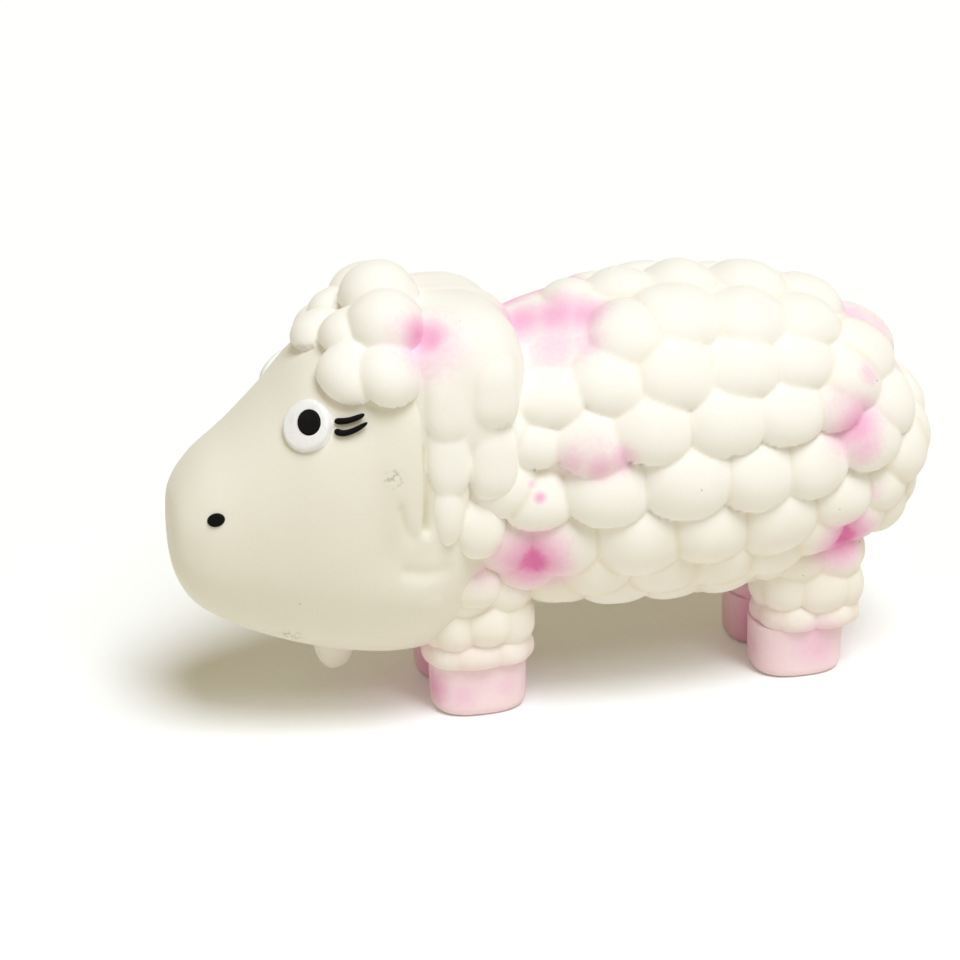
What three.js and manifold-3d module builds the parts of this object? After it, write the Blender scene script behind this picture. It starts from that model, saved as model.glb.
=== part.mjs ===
import * as THREE from 'three';
import { mergeVertices } from 'three/addons/utils/BufferGeometryUtils.js';
import Module from 'manifold-3d';

// A hollow toy sheep moulded in latex, standing on four short legs.
// Its head points along -X, its left side faces -Y, and it stands on Z = 0.
// Lengths are in millimetres. A value that ends in share or shares is a part of the
// named size that it is used with.

// The whole toy
const toyLength = 160;
const skinWall = 2;
const seamGap = 0.3;
const cutOverrun = 6;

// The barrel of the body, measured in the creases between the curls
const neckOverlap = 26.7;
const bodyHeight = 64;
const bodyWidth = 48;
const bellyClearance = 21;
const bodyEndRoundness = 2.4;
const bodyAxisSag = 5;
const bodySectionRoundness = 2.2;

// The curls of the fleece, each the cap of a ball
const curlRadius = 8;
const curlHeight = 4.2;
const curlColumns = 6;
const curlRingTurns = [0, 0.19, 0.4, 1];

// The head, from the muzzle to where it dives into the body
const headLength = 72.5;
const headHeight = 77.9;
const headWidth = 53;
const chinClearance = 12.4;
const headSectionRoundness = 2.25;

// The forelock's curls, and the ears that hang beside the face
const forelockRadius = 5.8;
const forelockPadRise = 1.4;
const forelockPadLength = 28;
const forelockPadWidth = 44;
const forelockPadHeight = 31;
const earLength = 24.5;
const earHeight = 23;
const earWidth = 25;
const earSink = 4.5;
const earLobeLength = 9.6;
const earLobeWidth = 9;
const jawCurlRadius = 6;

// The tuft under the chin and the tail
const tuftRadius = 3.3;
const tuftDrop = 8;
const tailHeight = 16;
const tailWidth = 10;

// The legs, from the hoof up into the body, and the gap between a left and a right one
const legTop = 33;
const legLength = 19;
const legWidth = 15.2;
const legCurlRadius = 4.8;
const legCurlRise = 2.3;
const legGap = 1.2;
const frontLegInset = 14.7;
const rearLegInset = 25.6;
const hoofHeight = 11.4;
const hoofLength = 19.6;
const hoofWidth = 15.4;
const hoofSole = 3;
const legSectionRoundness = 2.6;

// The eyes, lashes and nostrils
const eyeRadius = 4.8;
const eyeRise = 1.1;
const eyeRoot = 1.6;
const pupilWidth = 4.5;
const pupilHeight = 5.3;
const paintThickness = 0.4;
const lashRadius = 0.6;
const nostrilWidth = 3.4;
const nostrilHeight = 2.5;

// The squeaker in the belly: a flanged barrel, a seat, a reed and a cap
const squeakerPlaceShare = 0.445;
const flangeRadius = 9;
const flangeThickness = 1.4;
const barrelRadius = 6.7;
const barrelWall = 1;
const barrelDepth = 13;
const beadHeight = 1.2;
const beadRise = 1;
const soundHoleRadius = 2.2;
const floorThickness = 1.2;
const seatThickness = 2.6;
const slotLength = 6.4;
const slotWidth = 3.2;
const reedLength = 9.2;
const reedWidth = 4.2;
const reedThickness = 0.35;
const capThickness = 1.6;
const capFootLength = 1.8;
const capHoleRadius = 1.4;

// The wadding stays this far inside the skin
const waddingClearance = 0.6;

// Places that follow from those sizes
const bodyLength = toyLength - curlHeight - headLength + neckOverlap;
const bodyRear = toyLength / 2 - curlHeight;
const bodyFront = bodyRear - bodyLength;
const bodyMiddle = (bodyFront + bodyRear) / 2;
const bodyAxisHeight = bellyClearance + bodyHeight / 2;
const headFront = -toyLength / 2;

// Curls on the left half of the body: share of the way from chest to rump, share of the
// way round from spine to belly, share of the full curl size. Those off the middle
// plane are repeated on the right half.
const curlPlaceShares = [
  [0.43, 0, 0.85], [0.54, 0, 1], [0.67, 0, 1.05], [0.79, 0, 1], [0.9, 0, 0.95],
  [0.32, 0.11, 0.6], [0.395, 0.18, 1.05], [0.5, 0.145, 1.05], [0.63, 0.16, 1], [0.745, 0.155, 0.95],
  [0.86, 0.19, 1],
  [0.25, 0.3, 0.9], [0.365, 0.29, 0.95], [0.475, 0.275, 1.1], [0.6, 0.285, 1], [0.715, 0.27, 0.95],
  [0.815, 0.29, 1], [0.91, 0.32, 1],
  [0.15, 0.32, 1], [0.22, 0.39, 0.8], [0.32, 0.405, 1], [0.425, 0.385, 1.15], [0.56, 0.385, 1.1],
  [0.68, 0.38, 1.05], [0.775, 0.355, 0.9], [0.85, 0.43, 1.05], [0.95, 0.46, 1],
  [0.15, 0.46, 1], [0.22, 0.51, 0.9], [0.345, 0.5, 1.05], [0.49, 0.49, 1.2], [0.62, 0.495, 1.1],
  [0.735, 0.49, 1], [0.8, 0.575, 0.9], [0.91, 0.58, 0.8],
  [0.1, 0.62, 0.85], [0.16, 0.62, 0.85], [0.27, 0.62, 0.9], [0.41, 0.605, 1.1], [0.54, 0.595, 1.1],
  [0.665, 0.595, 1.05], [0.76, 0.66, 0.85], [0.87, 0.665, 0.8],
  [0.2, 0.7, 0.85], [0.34, 0.7, 0.95], [0.47, 0.695, 1], [0.575, 0.695, 1], [0.68, 0.7, 0.95],
  [0.14, 0.77, 0.9], [0.27, 0.79, 0.9], [0.39, 0.8, 0.95], [0.5, 0.8, 0.95], [0.61, 0.8, 0.95],
  [0.72, 0.8, 0.9], [0.83, 0.78, 0.9], [0.94, 0.72, 0.9],
  [0.3, 0.93, 0.9], [0.59, 0.93, 0.9], [0.7, 0.93, 0.9],
  [0.985, 0, 0.95], [0.985, 0.36, 0.95], [0.985, 0.74, 0.8],
];

// Outlines of the head from the muzzle's tip to the back, at even steps: shares of its
// length and of its height above the chin for the top and the underside, and shares of
// its half width
const headTopShares = [
  [0, 0.381], [0.014, 0.483], [0.076, 0.566], [0.18, 0.643], [0.283, 0.733], [0.372, 0.823],
  [0.483, 0.9], [0.607, 0.972], [0.745, 1.003], [0.869, 0.983], [0.966, 0.874], [1, 0.691],
];
const headUndersideShares = [
  [0, 0.381], [0.007, 0.275], [0.055, 0.187], [0.152, 0.123], [0.262, 0.076], [0.372, 0.041],
  [0.483, 0.015], [0.607, 0], [0.731, 0.008], [0.869, 0.072], [0.966, 0.33], [1, 0.691],
];
const headWidthShares = [0, 0.36, 0.55, 0.7, 0.83, 0.93, 0.985, 0.99, 0.86, 0.68, 0.42, 0];

// Curls of the forelock on the left half: share of the way along the head, share of the
// way round from the top to the chin, share of the full curl size
const forelockPlaceShares = [
  [0.505, 0, 0.95], [0.62, 0, 1.05], [0.558, 0.09, 0.9], [0.632, 0.135, 1.15],
  [0.552, 0.2, 1], [0.617, 0.26, 0.95],
];

// Lobes of the hanging ear: share of the way along the head, share of the way round, and
// half its height as a share of the lobe's length
const earLobeShares = [[0.72, 0.36, 1.05], [0.715, 0.465, 0.76], [0.715, 0.545, 0.7]];
const earPlaceShares = [0.755, 0.235];
const jawCurlShares = [0.665, 0.66];
const forelockPadAlongShare = 0.59;
const tuftAlongShare = 0.515;

// Places of the eye, the nostril and the lashes on the head: shares along and round
const eyePlaceShares = [0.452, 0.272];
const nostrilPlaceShares = [0.2245, 0.392];
const upperLashShares = [[0.502, 0.2956], [0.531, 0.309], [0.56, 0.3146]];
const lowerLashShares = [[0.5, 0.3166], [0.522, 0.337], [0.563, 0.335]];

// Outline of a leg and of a hoof from the bottom up: shares of the height and of the size
const legOutlineShares = [[0, 0], [0, 0.97], [0.5, 1], [0.8, 1], [1, 0.8], [1, 0]];
const hoofOutlineShares = [[0, 0], [0, 0.8], [0.1, 0.93], [0.28, 0.99], [1, 1.02], [1, 0]];
const legHollowShares = [[0, 0], [0, 1], [1, 1], [1, 0]];

// Rows of curls round the outer side of a leg: share of its height, turns from straight
// outwards as shares of half a turn
const legCurlRows = [
  { heightShare: 0.28, turnShares: [-0.54, -0.26, 0.02, 0.3, 0.56] },
  { heightShare: 0.68, turnShares: [-0.42, -0.12, 0.18, 0.46] },
];

const wasm = await Module();
wasm.setup();

// The solid inside a closed geometry, for joining and cutting
function solidOf(geometry) {
  const bare = geometry.clone();
  bare.deleteAttribute('normal');
  bare.deleteAttribute('uv');
  const merged = mergeVertices(bare, seamGap / 1000);
  return new wasm.Manifold(new wasm.Mesh({
    numProp: 3,
    vertProperties: Float32Array.from(merged.attributes.position.array),
    triVerts: Uint32Array.from(merged.index.array),
  }));
}

// The geometry of a solid
function geometryOf(solid) {
  const mesh = solid.getMesh();
  const geometry = new THREE.BufferGeometry();
  geometry.setAttribute('position', new THREE.BufferAttribute(mesh.vertProperties, 3));
  geometry.setIndex(new THREE.BufferAttribute(mesh.triVerts, 1));
  geometry.computeVertexNormals();
  return geometry;
}

// A closed skin over a grid of places: rings from one pole to the other, each of as many
// columns. pointAt gives the point at two shares, of the way along and of the way round.
function closedSkin(ringCount, columnCount, pointAt) {
  const points = [...pointAt(0, 0).toArray()];
  for (let ring = 1; ring < ringCount; ring += 1) {
    for (let column = 0; column < columnCount; column += 1) {
      points.push(...pointAt(ring / ringCount, column / columnCount).toArray());
    }
  }
  points.push(...pointAt(1, 0).toArray());
  const last = points.length / 3 - 1;
  const place = (ring, column) => 1 + (ring - 1) * columnCount + (column % columnCount);
  const faces = [];
  for (let column = 0; column < columnCount; column += 1) {
    faces.push(0, place(1, column), place(1, column + 1));
    for (let ring = 1; ring < ringCount - 1; ring += 1) {
      const corners = [
        place(ring, column), place(ring + 1, column),
        place(ring + 1, column + 1), place(ring, column + 1),
      ];
      faces.push(corners[0], corners[1], corners[2], corners[0], corners[2], corners[3]);
    }
    faces.push(last, place(ringCount - 1, column + 1), place(ringCount - 1, column));
  }
  const geometry = new THREE.BufferGeometry();
  geometry.setAttribute('position', new THREE.BufferAttribute(new Float32Array(points), 3));
  geometry.setIndex(faces);
  return geometry;
}

// A signed power, which keeps the side that a rounded outline is on
function signedPower(value, power) {
  return Math.sign(value) * Math.abs(value) ** power;
}

// The barrel of the body
const barrelHalves = new THREE.Vector3(bodyLength / 2, bodyWidth / 2, bodyHeight / 2);
const barrelCentre = new THREE.Vector3(bodyMiddle, 0, bodyAxisHeight);

// The way from the barrel's centre to its surface, in half sizes, at a ring angle from chest
// to rump and a column angle round from the spine towards the right side
function barrelUnit(ringAngle, columnAngle) {
  const radius = Math.sin(ringAngle) ** (2 / bodyEndRoundness);
  return new THREE.Vector3(
    -signedPower(Math.cos(ringAngle), 2 / bodyEndRoundness),
    radius * signedPower(Math.sin(columnAngle), 2 / bodySectionRoundness),
    radius * signedPower(Math.cos(columnAngle), 2 / bodySectionRoundness),
  );
}

// The point of the barrel there: its axis sags towards both ends
function barrelPoint(ringAngle, columnAngle) {
  const unit = barrelUnit(ringAngle, columnAngle);
  const sag = bodyAxisSag * Math.abs(unit.x) ** 3;
  const point = unit.multiply(barrelHalves).add(barrelCentre);
  point.z -= sag;
  return point;
}

// The way the barrel's surface faces there
function barrelNormal(ringAngle, columnAngle) {
  const unit = barrelUnit(ringAngle, columnAngle);
  const radius = (Math.abs(unit.y) ** bodySectionRoundness
    + Math.abs(unit.z) ** bodySectionRoundness) ** (1 / bodySectionRoundness);
  const sideways = radius ** (bodyEndRoundness - bodySectionRoundness);
  return new THREE.Vector3(
    signedPower(unit.x, bodyEndRoundness - 1),
    sideways * signedPower(unit.y, bodySectionRoundness - 1),
    sideways * signedPower(unit.z, bodySectionRoundness - 1),
  ).divide(barrelHalves).normalize();
}

// The ring angle at which the barrel is a share of its length from the chest
function ringAngleAt(lengthShare) {
  return Math.acos(-signedPower(2 * lengthShare - 1, bodyEndRoundness / 2));
}

const bodyCurls = [];
for (const [lengthShare, roundShare, size] of curlPlaceShares) {
  const sides = roundShare > 0 && roundShare < 1 ? [-1, 1] : [1];
  for (const side of sides) {
    const angles = [ringAngleAt(lengthShare), side * Math.PI * roundShare];
    bodyCurls.push({ place: barrelPoint(...angles), outward: barrelNormal(...angles), size });
  }
}

// Ring angles that space the rings evenly along the barrel's outline
function evenRingAngles(ringCount) {
  const sampleCount = ringCount * 24;
  const lengths = [0];
  for (let sample = 1; sample <= sampleCount; sample += 1) {
    const before = barrelPoint(Math.PI * (sample - 1) / sampleCount, 0);
    const here = barrelPoint(Math.PI * sample / sampleCount, 0);
    lengths.push(lengths[sample - 1] + here.distanceTo(before));
  }
  const angles = [];
  let sample = 0;
  for (let ring = 0; ring <= ringCount; ring += 1) {
    const wanted = lengths[sampleCount] * ring / ringCount;
    while (sample < sampleCount - 1 && lengths[sample + 1] < wanted) {
      sample += 1;
    }
    const share = (wanted - lengths[sample]) / (lengths[sample + 1] - lengths[sample]);
    angles.push(Math.PI * (sample + Math.min(share, 1)) / sampleCount);
  }
  return angles;
}

// The smooth skin below the curls, grown outwards by a length
function bodySkin(ringCount, columnCount, growth) {
  const ringAngles = evenRingAngles(ringCount);
  return closedSkin(ringCount, columnCount, (along, around) => {
    const angles = [ringAngles[Math.round(along * ringCount)], 2 * Math.PI * around];
    return barrelPoint(...angles).addScaledVector(barrelNormal(...angles), growth);
  });
}

// A smooth value between the even steps of a row of values
function smoothValue(values, share) {
  const steps = values.length - 1;
  const step = Math.min(Math.floor(share * steps), steps - 1);
  const t = share * steps - step;
  const before = step > 0 ? values[step - 1] : 2 * values[0] - values[1];
  const after = step < steps - 1 ? values[step + 2] : 2 * values[steps] - values[steps - 1];
  const slopeIn = (values[step + 1] - before) / 2;
  const slopeOut = (after - values[step]) / 2;
  const rise = values[step + 1] - values[step];
  return values[step] + slopeIn * t + (3 * rise - 2 * slopeIn - slopeOut) * t ** 2
    + (slopeIn + slopeOut - 2 * rise) * t ** 3;
}

const topAlong = headTopShares.map((pair) => pair[0]);
const topRise = headTopShares.map((pair) => pair[1]);
const undersideAlong = headUndersideShares.map((pair) => pair[0]);
const undersideRise = headUndersideShares.map((pair) => pair[1]);

// The point of the head at a share along from the muzzle and an angle round from the top
// towards the right side, grown outwards by a length
function headPoint(along, columnAngle, growth) {
  const top = new THREE.Vector3(
    headFront + headLength * smoothValue(topAlong, along), 0,
    chinClearance + headHeight * smoothValue(topRise, along),
  );
  const underside = new THREE.Vector3(
    headFront + headLength * smoothValue(undersideAlong, along), 0,
    chinClearance + headHeight * smoothValue(undersideRise, along),
  );
  const middle = top.clone().add(underside).divideScalar(2);
  const halfHeight = top.clone().sub(underside).divideScalar(2);
  const halfWidth = headWidth / 2 * smoothValue(headWidthShares, along);
  const power = 2 / headSectionRoundness;
  const point = middle.clone().addScaledVector(halfHeight, signedPower(Math.cos(columnAngle), power));
  point.y += halfWidth * signedPower(Math.sin(columnAngle), power);
  const heart = new THREE.Vector3(
    THREE.MathUtils.clamp(middle.x, headFront + headHeight / 3, headFront + headLength - headHeight / 3),
    0, middle.z,
  );
  const outward = point.clone().sub(heart).normalize();
  return point.addScaledVector(outward, growth);
}

function headSkin(ringCount, columnCount, growth) {
  return closedSkin(ringCount, columnCount, (along, around) => (
    headPoint(along, 2 * Math.PI * around, growth)));
}

// The head's surface at a place given in shares, on the left side: the point, the way the
// surface faces and the ways back along the head and up it
function headSeat([along, round]) {
  const step = 1 / 200;
  const angle = -Math.PI * round;
  const point = headPoint(along, angle, 0);
  const backward = headPoint(along + step, angle, 0).sub(headPoint(along - step, angle, 0));
  const upward = headPoint(along, angle + Math.PI * step, 0)
    .sub(headPoint(along, angle - Math.PI * step, 0));
  const outward = new THREE.Vector3().crossVectors(backward, upward).normalize();
  backward.normalize();
  return { point, outward, backward, upward: new THREE.Vector3().crossVectors(outward, backward) };
}

// A geometry turned so that its X runs back, its Y up and its Z out from a seat
function seated(geometry, seat, lift) {
  const place = new THREE.Matrix4().makeBasis(seat.backward, seat.upward, seat.outward);
  place.setPosition(seat.point.clone().addScaledVector(seat.outward, lift));
  return geometry.applyMatrix4(place);
}

// The same solid on the other side of the middle plane
function mirrored(solid) {
  return solid.mirror([0, 1, 0]);
}

// The main part of a solid that was cut, without crumbs that the cut left beside it
function mainPart(solid) {
  return solid.decompose().reduce((best, part) => (part.volume() > best.volume() ? part : best));
}

// A curl: the outer cap of a ball, which narrows to a root inside the skin that carries it.
// Its pole faces outwards.
function curlSolid(centre, outward, radius) {
  const last = curlRingTurns.length - 1;
  const cap = closedSkin(last, curlColumns, (along, around) => {
    const polar = Math.PI * curlRingTurns[Math.round(along * last)];
    const turn = 2 * Math.PI * around;
    return new THREE.Vector3(
      radius * Math.sin(polar) * Math.cos(turn),
      radius * Math.sin(polar) * Math.sin(turn),
      radius * Math.cos(polar),
    );
  });
  const tilt = new THREE.Quaternion().setFromUnitVectors(new THREE.Vector3(0, 0, 1), outward);
  cap.applyQuaternion(tilt);
  cap.translate(centre.x, centre.y, centre.z);
  return solidOf(cap);
}

// A rounded lump given by its centre and its three half sizes
function lumpSolid(centre, halves) {
  const lump = new THREE.SphereGeometry(1, 10, 7);
  lump.rotateX(Math.PI / 2);
  lump.scale(halves.x, halves.y, halves.z);
  lump.translate(centre.x, centre.y, centre.z);
  return solidOf(lump);
}

// The fleece: a smooth skin with a ball for each curl
function fleeceSolid(ringCount, columnCount, growth) {
  let solid = solidOf(bodySkin(ringCount, columnCount, growth));
  for (const curl of bodyCurls) {
    const radius = curlRadius * curl.size;
    const centre = curl.place.clone().addScaledVector(curl.outward, curlHeight * curl.size - radius);
    solid = solid.add(curlSolid(centre, curl.outward, radius + growth));
  }
  return solid;
}

const sheep = new THREE.Group();

function addPiece(name, geometry, colour, roughness) {
  const material = new THREE.MeshStandardMaterial({ color: colour, roughness, metalness: 0 });
  const mesh = new THREE.Mesh(geometry, material);
  mesh.name = name;
  sheep.add(mesh);
}

const latexColour = '#f3eddc';
const faceColour = '#e6dfca';
const hoofColour = '#f0b8c8';
const paintWhite = '#e6e4e6';
const paintBlack = '#100d0b';
const latexRoughness = 0.6;
const paintRoughness = 0.35;

// A stump that stands on a length of leg: rings of rounded sections, flat at both ends
function stumpSkin({ outlineShares, bottom, top, centre, halfLength, halfWidth, columnCount }) {
  const last = outlineShares.length - 1;
  return closedSkin(last, columnCount, (along, around) => {
    const [heightShare, sizeShare] = outlineShares[Math.round(along * last)];
    const angle = -2 * Math.PI * around;
    const power = 2 / legSectionRoundness;
    return new THREE.Vector3(
      centre.x + signedPower(Math.cos(angle), power) * halfLength * sizeShare,
      centre.y + signedPower(Math.sin(angle), power) * halfWidth * sizeShare,
      bottom + (top - bottom) * heightShare,
    );
  });
}

// The four legs stand at these places
const legPlaces = [
  { name: 'front', x: bodyFront + frontLegInset, lean: 0 },
  { name: 'rear', x: bodyRear - rearLegInset, lean: 1 },
];

const bodyShell = fleeceSolid(12, 16, 0);
const bodyGrown = fleeceSolid(12, 16, seamGap);
const bodyHollow = solidOf(bodySkin(10, 14, -skinWall));
const headShell = solidOf(headSkin(22, 24, 0));
const headGrown = solidOf(headSkin(22, 24, seamGap));
const headHollow = solidOf(headSkin(14, 16, -skinWall));

// An upright cylinder between two heights
function uprightSolid(x, radius, bottom, top, columnCount) {
  const cylinder = new THREE.CylinderGeometry(radius, radius, top - bottom, columnCount);
  cylinder.rotateX(Math.PI / 2);
  cylinder.translate(x, 0, (bottom + top) / 2);
  return solidOf(cylinder);
}

// The passage from the head into the body
const neckPassageRadius = bodyWidth / 4;
const neckCylinder = new THREE.CylinderGeometry(
  neckPassageRadius, neckPassageRadius, 2 * frontLegInset, 16,
);
neckCylinder.rotateZ(Math.PI / 2);
neckCylinder.translate(bodyFront, 0, bodyAxisHeight);
const neckPassage = solidOf(neckCylinder);

// The hole in the belly for the squeaker, and the flats that its flange and its bead seat on
const squeakerX = bodyFront + bodyLength * squeakerPlaceShare;
const seatPlane = bellyClearance + flangeThickness;
const bellyHole = uprightSolid(
  squeakerX, barrelRadius + seamGap, bellyClearance - cutOverrun, bellyClearance + cutOverrun, 24,
);
const bellyFlat = uprightSolid(
  squeakerX, flangeRadius + seamGap, bellyClearance - cutOverrun, seatPlane, 24,
);
const beadPlane = seatPlane + skinWall;
const beadFlat = uprightSolid(
  squeakerX, barrelRadius + beadRise + 2 * seamGap, beadPlane, beadPlane + cutOverrun, 24,
);

// The skin thickens to a collar round the squeaker
const collarRadius = flangeRadius + skinWall;
const collar = uprightSolid(squeakerX, collarRadius, bellyClearance, beadPlane, 24)
  .intersect(bodyShell);

// The curl at the back of the jaw, grown outwards by a length
function jawCurl(growth) {
  const halves = new THREE.Vector3().setScalar(jawCurlRadius + growth);
  return lumpSolid(headSeat(jawCurlShares).point, halves);
}

let fleeceBody = bodyShell.subtract(bodyHollow).subtract(neckPassage).add(collar)
  .subtract(bellyHole).subtract(bellyFlat).subtract(beadFlat);

for (const { name, x, lean } of legPlaces) {
  const hoofCentre = new THREE.Vector3(x, -(legGap + hoofWidth) / 2, 0);
  const hoof = solidOf(stumpSkin({
    outlineShares: hoofOutlineShares, bottom: 0, top: hoofHeight, centre: hoofCentre,
    halfLength: hoofLength / 2, halfWidth: hoofWidth / 2, columnCount: 16,
  }));
  const legCentre = new THREE.Vector3(x + lean * skinWall, -(legGap + legWidth) / 2, 0);
  const legSize = {
    outlineShares: legOutlineShares, bottom: hoofHeight + seamGap, top: legTop, centre: legCentre,
    halfLength: legLength / 2, halfWidth: legWidth / 2, columnCount: 12,
  };
  let leg = solidOf(stumpSkin(legSize));
  for (const { heightShare, turnShares } of legCurlRows) {
    for (const turnShare of turnShares) {
      const turn = Math.PI * turnShare;
      const outward = new THREE.Vector3(Math.sin(turn), -Math.cos(turn), 0);
      const place = new THREE.Vector3(
        legCentre.x + outward.x * legLength / 2,
        legCentre.y + outward.y * legWidth / 2,
        legSize.bottom + (legTop - legSize.bottom) * heightShare,
      );
      place.addScaledVector(outward, legCurlRise - legCurlRadius);
      leg = leg.add(curlSolid(place, outward, legCurlRadius));
    }
  }
  const legHollow = solidOf(stumpSkin({
    outlineShares: legHollowShares, bottom: hoofSole, top: legTop + cutOverrun, centre: hoofCentre,
    halfLength: hoofLength / 2 - 2 * skinWall, halfWidth: hoofWidth / 2 - 2 * skinWall,
    columnCount: 8,
  }));
  const hoofShell = hoof.subtract(legHollow);
  const legShell = mainPart(
    leg.subtract(bodyGrown).subtract(headGrown).subtract(jawCurl(seamGap)).subtract(legHollow),
  );
  addPiece(`leg_${name}_left`, geometryOf(legShell), latexColour, latexRoughness);
  addPiece(`leg_${name}_right`, geometryOf(mirrored(legShell)), latexColour, latexRoughness);
  addPiece(`hoof_${name}_left`, geometryOf(hoofShell), hoofColour, latexRoughness);
  addPiece(`hoof_${name}_right`, geometryOf(mirrored(hoofShell)), hoofColour, latexRoughness);
  fleeceBody = fleeceBody.subtract(legHollow).subtract(mirrored(legHollow));
}

addPiece('fleece_body', geometryOf(fleeceBody), latexColour, latexRoughness);

const head = mainPart(headShell.subtract(bodyGrown).subtract(headHollow));
addPiece('head', geometryOf(head), faceColour, latexRoughness);

// The forelock: curls that overlap each other on the forehead, as one piece
const forelockCurls = [];
for (const [along, round, size] of forelockPlaceShares) {
  const seat = headSeat([along, round]);
  for (const side of round > 0 ? [1, -1] : [1]) {
    const outward = seat.outward.clone().multiply(new THREE.Vector3(1, side, 1)).normalize();
    const centre = seat.point.clone().multiply(new THREE.Vector3(1, side, 1));
    forelockCurls.push({ centre, outward, radius: forelockRadius * size });
  }
}
const forelockPadPlace = headSeat([forelockPadAlongShare, 0]).point;
const forelockPadHalves = new THREE.Vector3(forelockPadLength, forelockPadWidth, forelockPadHeight)
  .divideScalar(2);

// The forelock grown outwards by a length: a low pad over the forehead and its curls
function forelockSolid(growth) {
  const pad = solidOf(headSkin(22, 24, forelockPadRise + growth))
    .intersect(lumpSolid(forelockPadPlace, forelockPadHalves.clone().addScalar(growth)));
  return forelockCurls
    .map(({ centre, outward, radius }) => curlSolid(centre, outward, radius + growth))
    .reduce((joined, curl) => joined.add(curl), pad);
}
const forelock = mainPart(forelockSolid(0).subtract(headGrown));
addPiece('forelock', geometryOf(forelock), latexColour, latexRoughness);

// An ear: a dome at the top of the head with three lobes that hang below it
const earSeat = headSeat(earPlaceShares);
let ear = lumpSolid(
  earSeat.point.clone().addScaledVector(earSeat.outward, -earSink),
  new THREE.Vector3(earLength / 2, earWidth / 2, earHeight / 2),
);
for (const [along, round, lengthShare] of earLobeShares) {
  const seat = headSeat([along, round]);
  ear = ear.add(lumpSolid(seat.point, new THREE.Vector3(
    earLobeWidth / 2, earLobeWidth / 2, earLobeLength * lengthShare,
  )));
}
const leftPieces = {
  ear: mainPart(ear.subtract(headGrown).subtract(bodyGrown).subtract(forelockSolid(seamGap))),
  jaw_curl: mainPart(jawCurl(0).subtract(headGrown).subtract(bodyGrown)),
};
for (const [name, solid] of Object.entries(leftPieces)) {
  addPiece(`${name}_left`, geometryOf(solid), latexColour, latexRoughness);
  addPiece(`${name}_right`, geometryOf(mirrored(solid)), latexColour, latexRoughness);
}

// The tuft that hangs under the chin
const tuftSeat = headSeat([tuftAlongShare, 1]);
const tuft = lumpSolid(tuftSeat.point, new THREE.Vector3(tuftRadius, tuftRadius, tuftDrop));
addPiece('chin_tuft', geometryOf(mainPart(tuft.subtract(headGrown))), latexColour, latexRoughness);

// The tail lies against the rump and is the rearmost point of the toy
const tailCentre = barrelPoint(Math.PI, 0);
const tail = lumpSolid(tailCentre, new THREE.Vector3(curlHeight, tailWidth / 2, tailHeight / 2));
addPiece('tail', geometryOf(mainPart(tail.subtract(bodyGrown))), latexColour, latexRoughness);

// A low disc with a rounded rim, its foot sunk below the surface that it sits on
function discGeometry(halfWidth, halfHeight, rise, root, columnCount) {
  const rim = Math.min(rise, halfHeight / 2);
  const profile = [
    new THREE.Vector2(0, -root), new THREE.Vector2(1, -root), new THREE.Vector2(1, rise - rim / 2),
    new THREE.Vector2(1 - rim / halfHeight / 2, rise), new THREE.Vector2(0, rise),
  ];
  const disc = new THREE.LatheGeometry(profile, columnCount);
  disc.rotateX(Math.PI / 2);
  disc.scale(halfWidth, halfHeight, 1);
  return disc;
}

// The painted face: eye whites, pupils, nostrils and two lashes on each side
function addFacePair(name, solid, colour) {
  addPiece(`${name}_left`, geometryOf(solid), colour, paintRoughness);
  addPiece(`${name}_right`, geometryOf(mirrored(solid)), colour, paintRoughness);
}

const eyeSeat = headSeat(eyePlaceShares);
const eyeDisc = solidOf(seated(discGeometry(eyeRadius, eyeRadius, eyeRise, eyeRoot, 14), eyeSeat, 0));
addFacePair('eye_white', mainPart(eyeDisc.subtract(headGrown)), paintWhite);
const pupil = discGeometry(pupilWidth / 2, pupilHeight / 2, paintThickness, 0, 14);
addFacePair('pupil', solidOf(seated(pupil, eyeSeat, eyeRise + seamGap)), paintBlack);
const nostrilSeat = headSeat(nostrilPlaceShares);
const nostril = discGeometry(nostrilWidth / 2, nostrilHeight / 2, paintThickness + seamGap, eyeRoot, 12);
addFacePair(
  'nostril', mainPart(solidOf(seated(nostril, nostrilSeat, 0)).subtract(headGrown)), paintBlack,
);

const lashes = { lash_upper: upperLashShares, lash_lower: lowerLashShares };
for (const [name, places] of Object.entries(lashes)) {
  const points = places.map((place) => {
    const seat = headSeat(place);
    return seat.point.addScaledVector(seat.outward, lashRadius + seamGap);
  });
  const section = new THREE.Shape().absarc(0, 0, lashRadius, 0, 2 * Math.PI, false);
  const lash = new THREE.ExtrudeGeometry(section, {
    steps: 6, curveSegments: 3, bevelEnabled: false, extrudePath: new THREE.CatmullRomCurve3(points),
  });
  addFacePair(name, solidOf(lash), paintBlack);
}

// The squeaker stands in the belly hole, its flange outside the skin. Heights are measured
// up from the outer face of the flange.
const squeakerColour = '#e9e6dd';
const reedColour = '#d8d2be';
const plasticRoughness = 0.45;
const flangeBottom = seatPlane - seamGap - flangeThickness;
const beadBottom = flangeThickness + seamGap + skinWall + seamGap;
const barrelBore = barrelRadius - barrelWall;
const housingProfile = [
  [soundHoleRadius, 0], [flangeRadius, 0], [flangeRadius, flangeThickness],
  [barrelRadius, flangeThickness], [barrelRadius, beadBottom],
  [barrelRadius + beadRise, beadBottom + beadHeight / 2], [barrelRadius, beadBottom + beadHeight],
  [barrelRadius, barrelDepth], [barrelBore, barrelDepth], [barrelBore, floorThickness],
  [soundHoleRadius, floorThickness], [soundHoleRadius, 0],
];

function turnedSolid(profile, columnCount) {
  const turned = new THREE.LatheGeometry(profile.map((pair) => new THREE.Vector2(...pair)), columnCount);
  turned.rotateX(Math.PI / 2);
  return solidOf(turned);
}

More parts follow.
